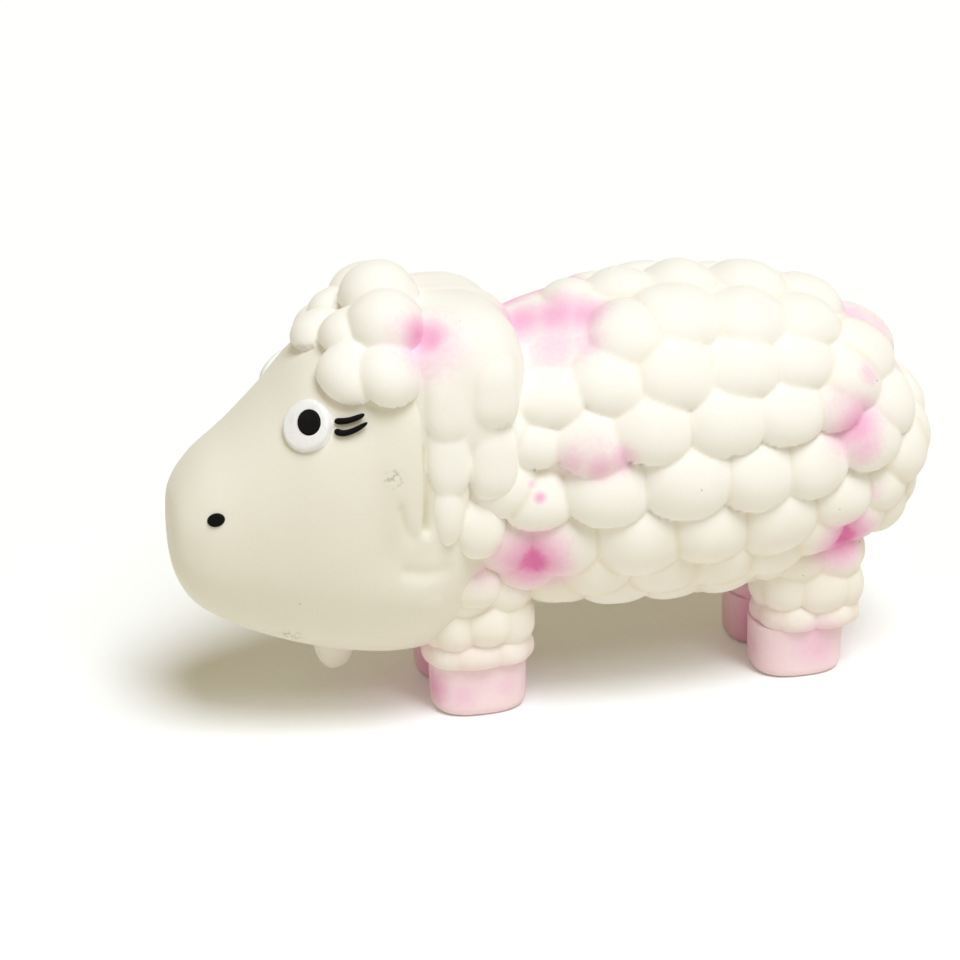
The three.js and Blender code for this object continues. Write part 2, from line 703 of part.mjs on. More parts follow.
function boxSolid(lengthX, lengthY, lengthZ, x, bottom) {
  const box = new THREE.BoxGeometry(lengthX, lengthY, lengthZ);
  box.translate(x, 0, bottom + lengthZ / 2);
  return solidOf(box);
}

function discSolid(radius, bottom, top, columnCount) {
  return uprightSolid(0, radius, bottom, top, columnCount);
}

const seatRadius = barrelBore - seamGap;
const seatBottom = floorThickness + seamGap;
const seatTop = seatBottom + seatThickness;
const reedRootX = -reedLength / 2;
const reedBottom = seatTop + seamGap;
const capTop = barrelDepth - seamGap;
const capBottom = capTop - capThickness;
const footBottom = reedBottom + reedThickness + seamGap;
const squeakerPieces = {
  squeaker_housing: turnedSolid(housingProfile, 24),
  reed_seat: discSolid(seatRadius, seatBottom, seatTop, 20)
    .subtract(boxSolid(slotLength, slotWidth, seatThickness + 2 * seamGap, 0, seatBottom - seamGap)),
  squeaker_cap: discSolid(seatRadius, capBottom, capTop, 20)
    .add(boxSolid(capFootLength, reedWidth, capTop - footBottom, reedRootX + capFootLength / 2, footBottom))
    .subtract(discSolid(capHoleRadius, capBottom - seamGap, capTop + seamGap, 12)),
  reed: boxSolid(reedLength, reedWidth, reedThickness, 0, reedBottom),
};
for (const [name, solid] of Object.entries(squeakerPieces)) {
  const colour = name === 'reed' ? reedColour : squeakerColour;
  addPiece(name, geometryOf(solid.translate([squeakerX, 0, flangeBottom])), colour, plasticRoughness);
}

// Loose wadding fills the skin round the squeaker
const waddingColour = '#f4f4f0';
const waddingRoughness = 0.95;
const waddingInset = skinWall + waddingClearance;
const squeakerTop = flangeBottom + barrelDepth;
const squeakerPocket = uprightSolid(
  squeakerX, collarRadius + waddingClearance, 0, squeakerTop + waddingClearance, 16,
);
const bodyWadding = solidOf(bodySkin(10, 14, -waddingInset)).subtract(squeakerPocket);
addPiece('wadding_body', geometryOf(bodyWadding), waddingColour, waddingRoughness);
const headWadding = solidOf(headSkin(14, 16, -waddingInset))
  .subtract(solidOf(bodySkin(10, 14, curlHeight + waddingClearance)));
addPiece('wadding_head', geometryOf(mainPart(headWadding)), waddingColour, waddingRoughness);

export default sheep;
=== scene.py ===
# %% [markdown]
# # A hollow latex sheep, dressed for a close look
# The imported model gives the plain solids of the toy. This lesson lays a detailed skin over
# them: a fleece of rounded curls, a smooth face, painted eyes and airbrushed pink spots.
# The solids are loaded first, because every new piece is placed in their frame.

import bpy
import numpy as np
from mathutils import Matrix, Vector


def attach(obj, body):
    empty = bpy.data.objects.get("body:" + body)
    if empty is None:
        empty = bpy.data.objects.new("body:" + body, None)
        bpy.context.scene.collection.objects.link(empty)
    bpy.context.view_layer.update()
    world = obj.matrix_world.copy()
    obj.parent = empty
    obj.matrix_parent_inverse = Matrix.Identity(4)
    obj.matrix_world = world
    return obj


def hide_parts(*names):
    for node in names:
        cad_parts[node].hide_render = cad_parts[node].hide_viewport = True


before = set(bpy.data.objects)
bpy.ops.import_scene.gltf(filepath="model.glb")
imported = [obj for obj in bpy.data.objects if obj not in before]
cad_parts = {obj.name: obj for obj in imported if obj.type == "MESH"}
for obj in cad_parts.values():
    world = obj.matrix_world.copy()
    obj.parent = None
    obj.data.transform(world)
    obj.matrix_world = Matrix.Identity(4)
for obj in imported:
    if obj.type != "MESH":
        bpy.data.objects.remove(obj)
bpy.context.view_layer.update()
print("solids loaded:", len(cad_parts), "nodes")

# %% [markdown]
# ## Camera
# The photograph was taken from slightly above, turned 15 degrees from the sheep's left
# side. A small shift moves the toy to the right of the picture, as it was framed. The
# camera's axes are written as a matrix, so its place needs no constraint.

# %% Camera
MILLIMETRE = 0.001
VIEW_DISTANCE, VIEW_TARGET = 450.0, np.array([0.0, 0.0, 44.0])
SENSOR_WIDTH, FOCAL_LENGTH, SHIFT_RIGHT = 36.0, 81.84, -0.08125
azimuth, elevation = np.radians([-15.0, 21.0])


def new_object(name, data):
    """An object that shows some data, linked into the scene."""
    thing = bpy.data.objects.new(name, data)
    bpy.context.scene.collection.objects.link(thing)
    return thing


right = np.array([np.cos(azimuth), np.sin(azimuth), 0.0])
back = np.array([
    np.sin(azimuth) * np.cos(elevation), -np.cos(azimuth) * np.cos(elevation), np.sin(elevation),
])
axes = Matrix(np.stack([right, np.cross(back, right), back], axis=1).tolist())
camera_data = bpy.data.cameras.new("camera")
camera_data.sensor_width = SENSOR_WIDTH
camera_data.lens = FOCAL_LENGTH
camera_data.shift_x = SHIFT_RIGHT
camera_data.clip_start = 0.01
camera = new_object("camera", camera_data)
camera_place = Vector((VIEW_TARGET + VIEW_DISTANCE * back) * MILLIMETRE)
camera.matrix_world = Matrix.Translation(camera_place) @ axes.to_4x4()
bpy.context.scene.camera = camera
print("camera stands", VIEW_DISTANCE, "mm from the toy")

# %% [markdown]
# ## Node maths
# Materials below are written as sums and products. A Wire wraps one socket, and each
# operator on it adds a Math node, so `1 - mask` reads as it is meant. Any other node comes
# from the one method `node`, which sets the node up before it fills its sockets.

# %% Node maths
class Wire:
    """One output socket of a material, with arithmetic."""

    def __init__(self, tree, socket):
        self.tree = tree
        self.socket = socket

    def node(self, kind, settings, inputs, output=0):
        """Adds a node, sets it up, fills its sockets with values or wires, returns an output."""
        node = self.tree.nodes.new(kind)
        for name, value in settings.items():
            setattr(node, name, value)
        for name, value in inputs.items():
            if isinstance(value, Wire):
                self.tree.links.new(value.socket, node.inputs[name])
            else:
                node.inputs[name].default_value = value
        return Wire(self.tree, node.outputs[output])

    def maths(self, operation, first, second):
        return self.node("ShaderNodeMath", {"operation": operation}, {0: first, 1: second})

    def __add__(self, other):
        return self.maths("ADD", self, other)

    def __radd__(self, other):
        return self.maths("ADD", other, self)

    def __sub__(self, other):
        return self.maths("SUBTRACT", self, other)

    def __rsub__(self, other):
        return self.maths("SUBTRACT", other, self)

    def __mul__(self, other):
        return self.maths("MULTIPLY", self, other)

    def __rmul__(self, other):
        return self.maths("MULTIPLY", other, self)

    def noise(self, size, detail=2.0, roughness=0.5):
        """Cloudy noise from 0 to 1 at this place, with blobs about a size in millimetres."""
        return self.node("ShaderNodeTexNoise", {}, {
            "Vector": self, "Scale": 1 / (size * MILLIMETRE), "Detail": detail,
            "Roughness": roughness,
        })

    def band(self, low, high, to_low=0.0, to_high=1.0):
        """This value stretched from one range to another, held at both ends, eased between."""
        return self.node("ShaderNodeMapRange", {"interpolation_type": "SMOOTHSTEP"}, {
            "Value": self, "From Min": low, "From Max": high, "To Min": to_low, "To Max": to_high,
        })

    def blend(self, first, second):
        """First colour where this value is 0, second where it is 1."""
        return self.node(
            "ShaderNodeMix", {"data_type": "RGBA"}, {0: self, 6: first, 7: second}, output=2,
        )


def written(red, green, blue):
    """A colour given as it looks on a screen, 0 to 255, as the linear values a shader takes."""
    share = np.array([red, green, blue]) / 255
    linear = np.where(share <= 0.04045, share / 12.92, ((share + 0.055) / 1.055) ** 2.4)
    return (*linear.tolist(), 1.0)


# %% [markdown]
# ## A finish
# Every finish starts from a Principled shader. Its constant values go straight on its
# sockets, and only what changes over the surface arrives by wire.

# %% New finish
def new_finish(name, constants):
    """A material with a Principled shader, that shader, and a wire of object coordinates."""
    material = bpy.data.materials.new(name)
    material.use_nodes = True
    tree = material.node_tree
    shader = tree.nodes["Principled BSDF"]
    for socket, value in constants.items():
        shader.inputs[socket].default_value = value
    coordinates = tree.nodes.new("ShaderNodeTexCoord")
    return material, shader, Wire(tree, coordinates.outputs["Object"])


def feed(shader, **sockets):
    """Links wires to the shader's sockets, named with underscores for spaces."""
    for name, wire in sockets.items():
        wire.tree.links.new(wire.socket, shader.inputs[name.replace("_", " ")])


def bump(place, height, distance):
    """A normal tilted by a height wire, for relief finer than the mesh."""
    return place.node("ShaderNodeBump", {}, {"Distance": distance * MILLIMETRE, "Height": height})


# %% [markdown]
# ## Latex
# The skin is matt cream latex, with shade painted into its creases, where it is darker and
# yellower, and pink paint was airbrushed on it in soft spots. The meshes carry two values at each
# vertex: `crease`, from 0 on a curl's top to 1 at its foot, which sets the painted shade, and
# `paint`, from 0 for bare latex to 1 for full pink. The material adds what is finer than the mesh:
# mottling, specks, scuffs and a faint grain, and shade painted darker towards the bottom.

# %% Latex finish
def stored(place, name):
    """A value that the mesh keeps at its vertices."""
    return place.node("ShaderNodeAttribute", {"attribute_name": name}, {}, output=2)


PALE_PINK, PLAIN_PINK = written(250, 219, 232), written(246, 187, 217)
DEEP_PINK = written(233, 124, 184)
SPECK_BROWN, SCUFF_GREY = written(140, 118, 82), written(168, 164, 146)
# The fleece is painted darker, as shade, below these heights.
LOW_SHADE_BOTTOM, LOW_SHADE_TOP = 26 * MILLIMETRE, 60 * MILLIMETRE


def latex_finish(name, light, shade, grain=0.05, low_shade=0.0, scuffs=()):
    """Matt latex: shade painted in its creases and, to a given strength, low down; spray, specks
    and scuffs.
    """
    material, shader, place = new_finish(name, {
        "Specular IOR Level": 0.3, "Sheen Weight": 0.08, "Sheen Roughness": 0.6,
    })
    crease = stored(place, "crease")
    paint = stored(place, "paint")
    cloudy = place.noise(14.0)
    fine = place.noise(1.1, detail=4.0)
    height = place.node("ShaderNodeSeparateXYZ", {}, {0: place}, output=2)
    # Random mottling, and painted shade that makes the latex darker towards the bottom.
    mottle_and_low_shade = cloudy.band(0.35, 0.7) * 0.2 + height.band(LOW_SHADE_BOTTOM, LOW_SHADE_TOP, low_shade, 0.0)
    # Painted shade: the latex takes the darker, yellower shade colour in its creases.
    bare = (crease * 0.6 + mottle_and_low_shade).band(0.1, 1.0).blend(light, shade)
    sprayed_on = paint + paint.band(0.02, 0.2) * ((fine - 0.5) * 0.2 + (cloudy - 0.5) * 0.3)
    tinted = sprayed_on.band(0.05, 0.4).blend(bare, PALE_PINK)
    tinted = sprayed_on.band(0.3, 0.75).blend(tinted, PLAIN_PINK)
    painted = sprayed_on.band(0.7, 1.05).blend(tinted, DEEP_PINK)
    specks = place.noise(3.1, detail=1.0).band(0.81, 0.825)
    dusty = specks.blend(painted, SPECK_BROWN)
    for spot, reach in scuffs:
        away = place.node("ShaderNodeVectorMath", {"operation": "DISTANCE"}, {
            0: place, 1: [share * MILLIMETRE for share in spot]}, output="Value")
        rubbed = away.band(0.3 * reach * MILLIMETRE, reach * MILLIMETRE, 1.0, 0.0) \
            * place.noise(0.9, detail=3.0).band(0.5, 0.6)
        dusty = (rubbed * 0.6).blend(dusty, SCUFF_GREY)
    feed(
        shader, Base_Color=dusty, Roughness=0.5 + 0.22 * place.noise(5.0, detail=3.0),
        Normal=bump(place, fine * 0.6 + place.noise(0.35) * 0.4, grain),
    )
    return material


fleece_latex = latex_finish(
    "fleece_latex", written(252, 249, 242), written(243, 235, 218), low_shade=0.4,
)
CHIN_SCUFF, CHEEK_SCUFF = ((-58.3, -14.9, 22.5), 3.2), ((-39.0, -26.2, 57.6), 3.0)
face_latex = latex_finish(
    "face_latex", written(239, 235, 221), written(214, 205, 179), grain=0.04,
    scuffs=(CHIN_SCUFF, CHEEK_SCUFF),
)
hoof_latex = latex_finish("hoof_latex", written(252, 234, 233), written(246, 214, 214))
print("latex finishes made")

# %% [markdown]
# ## Surfaces from grids
# Each new piece is a grid of points worked out as whole arrays. A closed skin has a pole at
# each end of its grid. A patch has an outer and an inner grid that meet at their borders.
# Both end in `make_piece`, which also turns a skin right side out by the sign of its volume.

# %% Mesh from arrays
def make_piece(name, points, corners, finish, values):
    """A smooth mesh from points in millimetres, lists of face corners and vertex values."""
    triangles = np.concatenate([
        np.stack([face[:, 0], face[:, k], face[:, k + 1]], axis=1)
        for face in corners for k in range(1, face.shape[1] - 1)
    ])
    a, b, c = (points[triangles[:, k]] for k in range(3))
    if np.einsum("ij,ij->", a, np.cross(b, c)) < 0:
        corners = [face[:, ::-1] for face in corners]
    mesh = bpy.data.meshes.new(name)
    sizes = np.concatenate([np.full(len(face), face.shape[1]) for face in corners])
    mesh.vertices.add(len(points))
    mesh.vertices.foreach_set("co", (points * MILLIMETRE).ravel())
    mesh.loops.add(int(sizes.sum()))
    mesh.loops.foreach_set("vertex_index", np.concatenate([face.ravel() for face in corners]))
    mesh.polygons.add(len(sizes))
    mesh.polygons.foreach_set("loop_start", np.concatenate([[0], np.cumsum(sizes)[:-1]]))
    mesh.polygons.foreach_set("use_smooth", np.ones(len(sizes), bool))
    mesh.update(calc_edges=True)
    for value_name in ("crease", "paint"):
        attribute = mesh.attributes.new(value_name, "FLOAT", "POINT")
        attribute.data.foreach_set("value", values.get(value_name, np.zeros(len(points))).ravel())
    mesh.materials.append(finish)
    print(name, "has", len(triangles), "triangles")
    return new_object(name, mesh)


# %% Skins and patches
def full_turn(count):
    """Evenly spaced angles once round, without the last, which is the first again."""
    return np.linspace(0, 2 * np.pi, count + 1)[:-1]


def grid_quads(numbers):
    """The quads of a grid of vertex numbers."""
    return np.stack(
        [numbers[:-1, :-1], numbers[1:, :-1], numbers[1:, 1:], numbers[:-1, 1:]], axis=-1,
    ).reshape(-1, 4)


def skin_faces(grid):
    """Points and faces of a closed skin: rows of the grid are rings, first and last the poles."""
    rings, columns = grid.shape[:2]
    points = np.concatenate([grid[:1, 0], grid[1:-1].reshape(-1, 3), grid[-1:, 0]])
    numbers = 1 + np.arange((rings - 2) * columns).reshape(rings - 2, columns)
    numbers = np.concatenate([numbers, numbers[:, :1]], axis=1)
    first = np.stack([np.zeros(columns, int), numbers[0, :-1], numbers[0, 1:]], axis=1)
    last = np.stack([np.full(columns, len(points) - 1), numbers[-1, 1:], numbers[-1, :-1]], axis=1)
    return points, [grid_quads(numbers), first, last]


def skin_piece(name, grid, finish, values=None, lining=None):
    """A closed skin, or a hollow one whose inner side is another grid, turned inside out."""
    points, faces = skin_faces(grid)
    kept = {
        key: np.concatenate([value[:1, 0], value[1:-1].ravel(), value[-1:, 0]])
        for key, value in (values or {}).items()
    }
    if lining is not None:
        inner_points, inner_faces = skin_faces(lining)
        faces += [face[:, ::-1] + len(points) for face in inner_faces]
        points = np.concatenate([points, inner_points])
        kept = {key: np.append(value, np.zeros(len(inner_points))) for key, value in kept.items()}
    return make_piece(name, points, faces, finish, kept)


def patch_piece(name, outer, inner, finish, values=None):
    """A closed patch: an outer and an inner grid of the same size, joined round their borders."""
    rows, columns = outer.shape[:2]
    count = rows * columns
    numbers = np.arange(count).reshape(rows, columns)
    border = np.concatenate([
        numbers[0, :-1], numbers[:-1, -1], numbers[-1, :0:-1], numbers[:0:-1, 0],
    ])
    following = np.roll(border, -1)
    rim = np.stack([border, following, following + count, border + count], axis=1)
    kept = {
        key: np.concatenate([value.ravel(), value.ravel()])
        for key, value in (values or {}).items()
    }
    points = np.concatenate([outer.reshape(-1, 3), inner.reshape(-1, 3)])
    faces = [grid_quads(numbers), grid_quads(numbers)[:, ::-1] + count, rim[:, ::-1]]
    return make_piece(name, points, faces, finish, kept)


# %% Turned pieces and cuts
def turned_piece(name, profile, place, finish, columns=96):
    """A ring turned on a lathe: a closed profile of radius and height carried round upright."""
    angle = full_turn(columns)
    radius, height = np.array(profile, float).T
    grid = np.stack([
        np.outer(radius, np.cos(angle)), np.outer(radius, np.sin(angle)),
        np.broadcast_to(height[:, None], (len(radius), columns)),
    ], axis=-1) + place
    numbers = np.arange(len(radius) * columns).reshape(len(radius), columns)
    numbers = np.pad(numbers, ((0, 1), (0, 1)), mode="wrap")
    return make_piece(name, grid.reshape(-1, 3), [grid_quads(numbers)], finish, {})


def softened(corners, radius):
    """A closed profile whose corners are rounded by short curves of three points."""
    corners = np.array(corners, float)
    before, after = np.roll(corners, 1, axis=0) - corners, np.roll(corners, -1, axis=0) - corners
    start, end = (
        corners + side * np.minimum(radius / np.linalg.norm(side, axis=1), 0.45)[:, None]
        for side in (before, after)
    )
    middle = (start + end) / 4 + corners / 2
    return np.stack([start, middle, end], axis=1).reshape(-1, 2)


def cut_away(piece, cutter):
    """Takes the cutter's room out of a piece, and the cutter itself out of the scene."""
    carve = piece.modifiers.new("carve", "BOOLEAN")
    carve.operation, carve.solver, carve.object = "DIFFERENCE", "MANIFOLD", cutter
    graph = bpy.context.evaluated_depsgraph_get()
    carved = bpy.data.meshes.new_from_object(piece.evaluated_get(graph))
    piece.modifiers.clear()
    piece.data = carved
    bpy.data.objects.remove(cutter)
    print(piece.name, "is cut and has", len(carved.polygons), "faces")


# %% Bodies, slots and nodes
def settle(piece, node):
    """Puts the piece on the toy's body and hides the imported solid of the node it stands for."""
    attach(piece, "toy")
    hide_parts(node)


def skin_pair(name, grid, finish, node, values=None):
    """A closed skin on the left and its mirror image on the right, each for its own node."""
    for side, word in ((1, "left"), (-1, "right")):
        piece = skin_piece(f"{name}_{word}", grid * [1, side, 1], finish, values)
        settle(piece, f"{node}_{word}")


# %% [markdown]
# ## Sprayed spots
# The pink spots were sprayed through the same mask on both sides, so each is given once by a
# place on the left side, a radius and a strength, and the sheep's width is measured from the
# middle plane. A spray pools in the creases and thins out over the tops of the curls.

# %% Sprayed spots
SPRAYED_SPOTS = np.array([
    # the pit in front of the ear
    (-31.0, -18.6, 83.3, 3.8, 1.15), (-31.0, -18.9, 81.5, 8.0, 0.42),
    (-31.0, -12.0, 86.4, 3.0, 0.25),
    # the saddle behind the head
    (-8.5, -6.4, 80.0, 5.4, 0.72), (-2.5, -8.2, 81.4, 5.6, 0.78), (2.4, -10.6, 82.4, 5.0, 0.72),
    (-4.4, -13.8, 77.4, 6.0, 0.4), (2.0, -15.2, 78.0, 5.4, 0.38),
    # the flank
    (1.1, -25.9, 56.8, 3.2, 0.78), (-3.0, -24.4, 57.6, 3.6, 0.62), (5.4, -26.0, 57.6, 3.4, 0.6),
    (1.1, -25.5, 58.5, 7.0, 0.26),
    # the elbow, and the dots on the curl above it
    (-10.6, -21.2, 35.9, 6.4, 1.2), (-20.8, -17.9, 32.6, 4.0, 0.3),
    (-11.5, -24.4, 53.3, 0.8, 0.9), (-10.3, -25.1, 50.7, 1.1, 1.0), (-11.5, -23.5, 47.1, 0.9, 0.8),
    # the rump, the hip and the thigh
    (61.6, -4.4, 75.0, 5.0, 0.4), (66.0, -6.0, 73.0, 6.0, 0.3), (70.0, -8.0, 68.0, 6.0, 0.26),
    (55.6, -22.8, 59.0, 5.4, 0.88), (57.4, -23.2, 54.6, 4.6, 0.6), (51.5, -23.2, 63.4, 4.0, 0.34),
    (56.0, -22.8, 59.0, 8.6, 0.34), (58.6, -20.0, 67.8, 3.0, 0.4),
    (56.4, -17.8, 33.0, 5.8, 1.2), (61.7, -19.0, 42.2, 3.0, 0.34),
    # the chin
    (-43.0, -5.0, 13.5, 4.0, 0.4), (-39.6, -4.0, 10.0, 1.7, 0.7),
    # the hooves, front and rear, and the insides between them, whose deep pink is partly sprayed
    # paint and partly painted shade between the legs
    (-24.0, -16.0, 4.6, 5.0, 0.5), (-15.0, -16.2, 6.0, 4.6, 0.45), (-28.4, -11.0, 6.0, 5.0, 0.85),
    (52.0, -16.0, 7.0, 7.0, 0.6), (42.0, -9.0, 6.0, 5.0, 0.6), (58.0, -9.0, 6.0, 5.0, 0.5),
    (-20.0, 0.0, 5.0, 13.0, 1.2), (50.0, 0.0, 5.0, 13.0, 1.2),
])


def on_the_left(points):
    """The points, or their mirror images where they lie on the right."""
    return np.stack([points[..., 0], -np.abs(points[..., 1]), points[..., 2]], axis=-1)


SPRAY_POWER = 1.7


def sprayed(points, crease):
    """Paint at each point: the strongest spot there, each fading as a bell of the distance."""
    paint = np.zeros(points.shape[:-1])
    for *centre, reach, strength in SPRAYED_SPOTS:
        distance = np.linalg.norm(on_the_left(points) - centre, axis=-1)
        bell = np.exp(-((distance / reach) ** SPRAY_POWER))
        spot = strength * bell * (0.95 + 0.1 * crease)
        paint = np.maximum(paint, spot)
    return paint


def latex_values(points, crease):
    """The two values that the latex finish reads from a mesh."""
    return {"crease": crease, "paint": sprayed(points, crease)}


print(len(SPRAYED_SPOTS), "sprayed spots on the left")

# %% [markdown]
# ## Curls and lobes
# On the real toy the fleece is part of the mould: pillow-like curls that hang over one
# another like tiles, and longer lobes on the ears. They could be sculpted, or be loose balls
# set side by side. Here a curl is a height over the skin that lies below it, and the highest
# curl wins at each point, so one mesh carries them all. A soft maximum rounds the crease
# between two curls, as liquid latex does in the mould.

# %% Curls and lobes
def one_long(vectors):
    """The same directions, each made one long."""
    return vectors / np.linalg.norm(vectors, axis=-1, keepdims=True)


def signed_power(value, power):
    """A power that keeps the sign."""
    return np.sign(value) * np.abs(value) ** power


def rise_to_lobe(points, headings, centre, halves, boxiness, missed):
    """How far along its heading each point leaves a lobe whose |x|^n + |y|^n + |z|^n is 1.

    The far side is found by halving a stretch of the way, starting where the way passes
    nearest to the lobe's middle."""
    away, heading = (points - np.asarray(centre)) / halves, headings / halves
    nearest = -np.sum(away * heading, axis=-1) / np.sum(heading * heading, axis=-1)

    def inside(reach):
        return np.sum(np.abs(away + reach[..., None] * heading) ** boxiness, axis=-1) < 1

    hit, low, high = inside(nearest), nearest, nearest + 2 * np.max(halves)
    for _ in range(16):
        middle = (low + high) / 2
        low, high = np.where(inside(middle), middle, low), np.where(inside(middle), high, middle)
    return np.where(hit, np.maximum(low, missed), missed)


# %% Pillows and creases
ACROSS_POWER, DOWN_POWER, DOME_POWER, UNREACHED = 2.3, 2.2, 0.85, -6.0


def curl_caps(points, places, normals, downs, halves, heights, tilts):
    """Each curl's height over the skin: a pillow, height * (1 - |u|^n - |v|^m)^d, with u
    across and v down the curl in half sizes, tilted so that its lower edge stands proud."""
    caps = np.full((len(places), *points.shape[:-1]), UNREACHED)
    for cap, place, normal, down, half, height, tilt in zip(
            caps, places, normals, downs, halves, heights, tilts):
        heading = one_long(down + [0.001, 0, 0])
        away = points - place
        across = np.abs(away @ np.cross(normal, heading)) / half[0]
        drop = away @ heading / half[1]
        left = 1 - across ** ACROSS_POWER - np.abs(drop) ** DOWN_POWER
        reached = (left > 0) & (away @ normal > -half[0])
        lean = tilt * np.linalg.norm(down) * drop[reached]
        cap[reached] = height * left[reached] ** DOME_POWER + lean
    return caps


def soft_maximum(heights, softness):
    """The largest of some heights, rounded: softness times the log of summed exponentials."""
    highest = np.max(heights, axis=0)
    return highest + softness * np.log(np.sum(np.exp((heights - highest) / softness), axis=0))


def crease_of(heights, width=0.6):
    """1 where the two highest are level, as in a crease, and 0 where one stands well above."""
    second, first = np.partition(heights, -2, axis=0)[-2:]
    return np.exp(-(first - second) / width)


def soft_noise(points, size, seed):
    """Gentle lumps from -1 to 1: a few sine waves of random headings, a size long each."""
    random = np.random.default_rng(seed)
    total = np.zeros(points.shape[:-1])
    for heading in random.normal(size=(7, 3)):
        heading *= 2 * np.pi / (size * np.linalg.norm(heading))
        total += np.sin(points @ heading + random.uniform(0, 2 * np.pi))
    return total / 4


# %% [markdown]
# ## The barrel of the body
# The body is a long barrel: a rounded box in section, blunt at both ends, whose axis sags a
# little towards the chest and the rump. The rings are spaced evenly along its outline, so
# the curls get as many points at the ends as in the middle.

# %% Barrel
BODY_FRONT, BODY_REAR = -34.2, 75.8
BODY_HALVES = np.array([(BODY_REAR - BODY_FRONT) / 2, 24.0, 32.0])
BODY_CENTRE = np.array([(BODY_REAR + BODY_FRONT) / 2, 0.0, 53.0])
BODY_SAG = 5.0
END_ROUNDNESS, SECTION_ROUNDNESS = 2.4, 2.2


def barrel_unit(ring, column):
    """The barrel in half sizes, by an angle from chest to rump and one round from the spine."""
    radius = np.maximum(np.sin(ring), 0) ** (2 / END_ROUNDNESS)
    return np.stack([
        -signed_power(np.cos(ring), 2 / END_ROUNDNESS) + 0 * column,
        radius * signed_power(np.sin(column), 2 / SECTION_ROUNDNESS),
        radius * signed_power(np.cos(column), 2 / SECTION_ROUNDNESS),
    ], axis=-1)


def barrel_point(ring, column):
    unit = barrel_unit(ring, column)
    point = unit * BODY_HALVES + BODY_CENTRE
    point[..., 2] -= BODY_SAG * np.abs(unit[..., 0]) ** 3
    return point


def barrel_normal(ring, column):
    """The gradient of the barrel's formula, made one long."""
    unit = barrel_unit(ring, column)
    radius = (np.abs(unit[..., 1]) ** SECTION_ROUNDNESS
              + np.abs(unit[..., 2]) ** SECTION_ROUNDNESS) ** (1 / SECTION_ROUNDNESS)
    sideways = radius ** (END_ROUNDNESS - SECTION_ROUNDNESS)
    gradient = np.stack([
        signed_power(unit[..., 0], END_ROUNDNESS - 1),
        sideways * signed_power(unit[..., 1], SECTION_ROUNDNESS - 1),
        sideways * signed_power(unit[..., 2], SECTION_ROUNDNESS - 1),
    ], axis=-1) / BODY_HALVES
    return one_long(gradient)


def even_angles(curve, low, high, count):
    """Angles that space points evenly along a curve, by its running length."""
    samples = np.linspace(low, high, 16 * count)
    steps = np.linalg.norm(np.diff(curve(samples), axis=0), axis=-1)
    length = np.concatenate([[0], np.cumsum(steps)])
    return np.interp(np.linspace(0, length[-1], count), length, samples)


def barrel_rings(count):
    """Ring angles that are evenly spaced along the back, from chest to rump."""
    return even_angles(lambda angle: barrel_point(angle, 0 * angle), 0, np.pi, count)


COLUMN_ANGLES = even_angles(lambda angle: barrel_point(np.pi / 2, angle), 0, 2 * np.pi, 331)[:-1]
print("barrel is", 2 * BODY_HALVES, "mm")

# %% [markdown]
# ## Where the curls sit
# The table names each curl of the left half by its share of the way from chest to rump, its
# share of the way round from spine to belly, and its size. Curls off the middle plane are
# repeated on the right.

# %% Curl table
CURL_HALVES, CURL_HEIGHT, CURL_TILT = np.array([9.0, 8.6]), 3.9, 3.2
CURL_PLACES = np.array([
    [0.43, 0, 0.85], [0.54, 0, 1], [0.67, 0, 1.05], [0.79, 0, 1], [0.9, 0, 0.95],
    [0.33, 0, 0.7], [0.41, 0.18, 1.0], [0.5, 0.145, 1.05], [0.63, 0.16, 1],
    [0.745, 0.155, 0.95], [0.86, 0.19, 1], [0.25, 0.3, 0.9], [0.365, 0.29, 0.95],
    [0.475, 0.275, 1.1], [0.6, 0.285, 1], [0.715, 0.27, 0.95], [0.815, 0.29, 1],
    [0.91, 0.32, 1], [0.15, 0.32, 1], [0.22, 0.39, 0.8], [0.32, 0.405, 1],
    [0.425, 0.385, 1.15], [0.56, 0.385, 1.1], [0.68, 0.38, 1.05], [0.775, 0.355, 0.9],
    [0.85, 0.43, 1.05], [0.95, 0.46, 1], [0.15, 0.46, 1], [0.22, 0.51, 0.9],
    [0.345, 0.5, 1.05], [0.49, 0.49, 1.2], [0.62, 0.495, 1.1], [0.735, 0.49, 1],
    [0.8, 0.575, 0.9], [0.91, 0.58, 0.8], [0.1, 0.62, 0.85], [0.16, 0.62, 0.85],
    [0.27, 0.62, 0.9], [0.41, 0.605, 1.1], [0.54, 0.595, 1.1], [0.665, 0.595, 1.05],
    [0.76, 0.66, 0.85], [0.87, 0.665, 0.8], [0.2, 0.7, 0.85], [0.34, 0.7, 0.95],
    [0.47, 0.695, 1], [0.575, 0.695, 1], [0.68, 0.7, 0.95], [0.14, 0.77, 0.9],
    [0.27, 0.79, 0.9], [0.39, 0.8, 0.95], [0.5, 0.8, 0.95], [0.61, 0.8, 0.95],
    [0.72, 0.8, 0.9], [0.83, 0.78, 0.9], [0.94, 0.72, 0.9], [0.3, 0.93, 0.9],
    [0.59, 0.93, 0.9], [0.7, 0.93, 0.9], [0.985, 0, 0.95], [0.985, 0.36, 0.95],
    [0.985, 0.74, 0.8],
])


def both_sides(places):
    """Rows of a table of places with those off the middle plane repeated on the right."""
    off_middle = (places[:, 1] > 0) & (places[:, 1] < 1)
    return np.concatenate([places * [1, -1, 1], places[off_middle]])


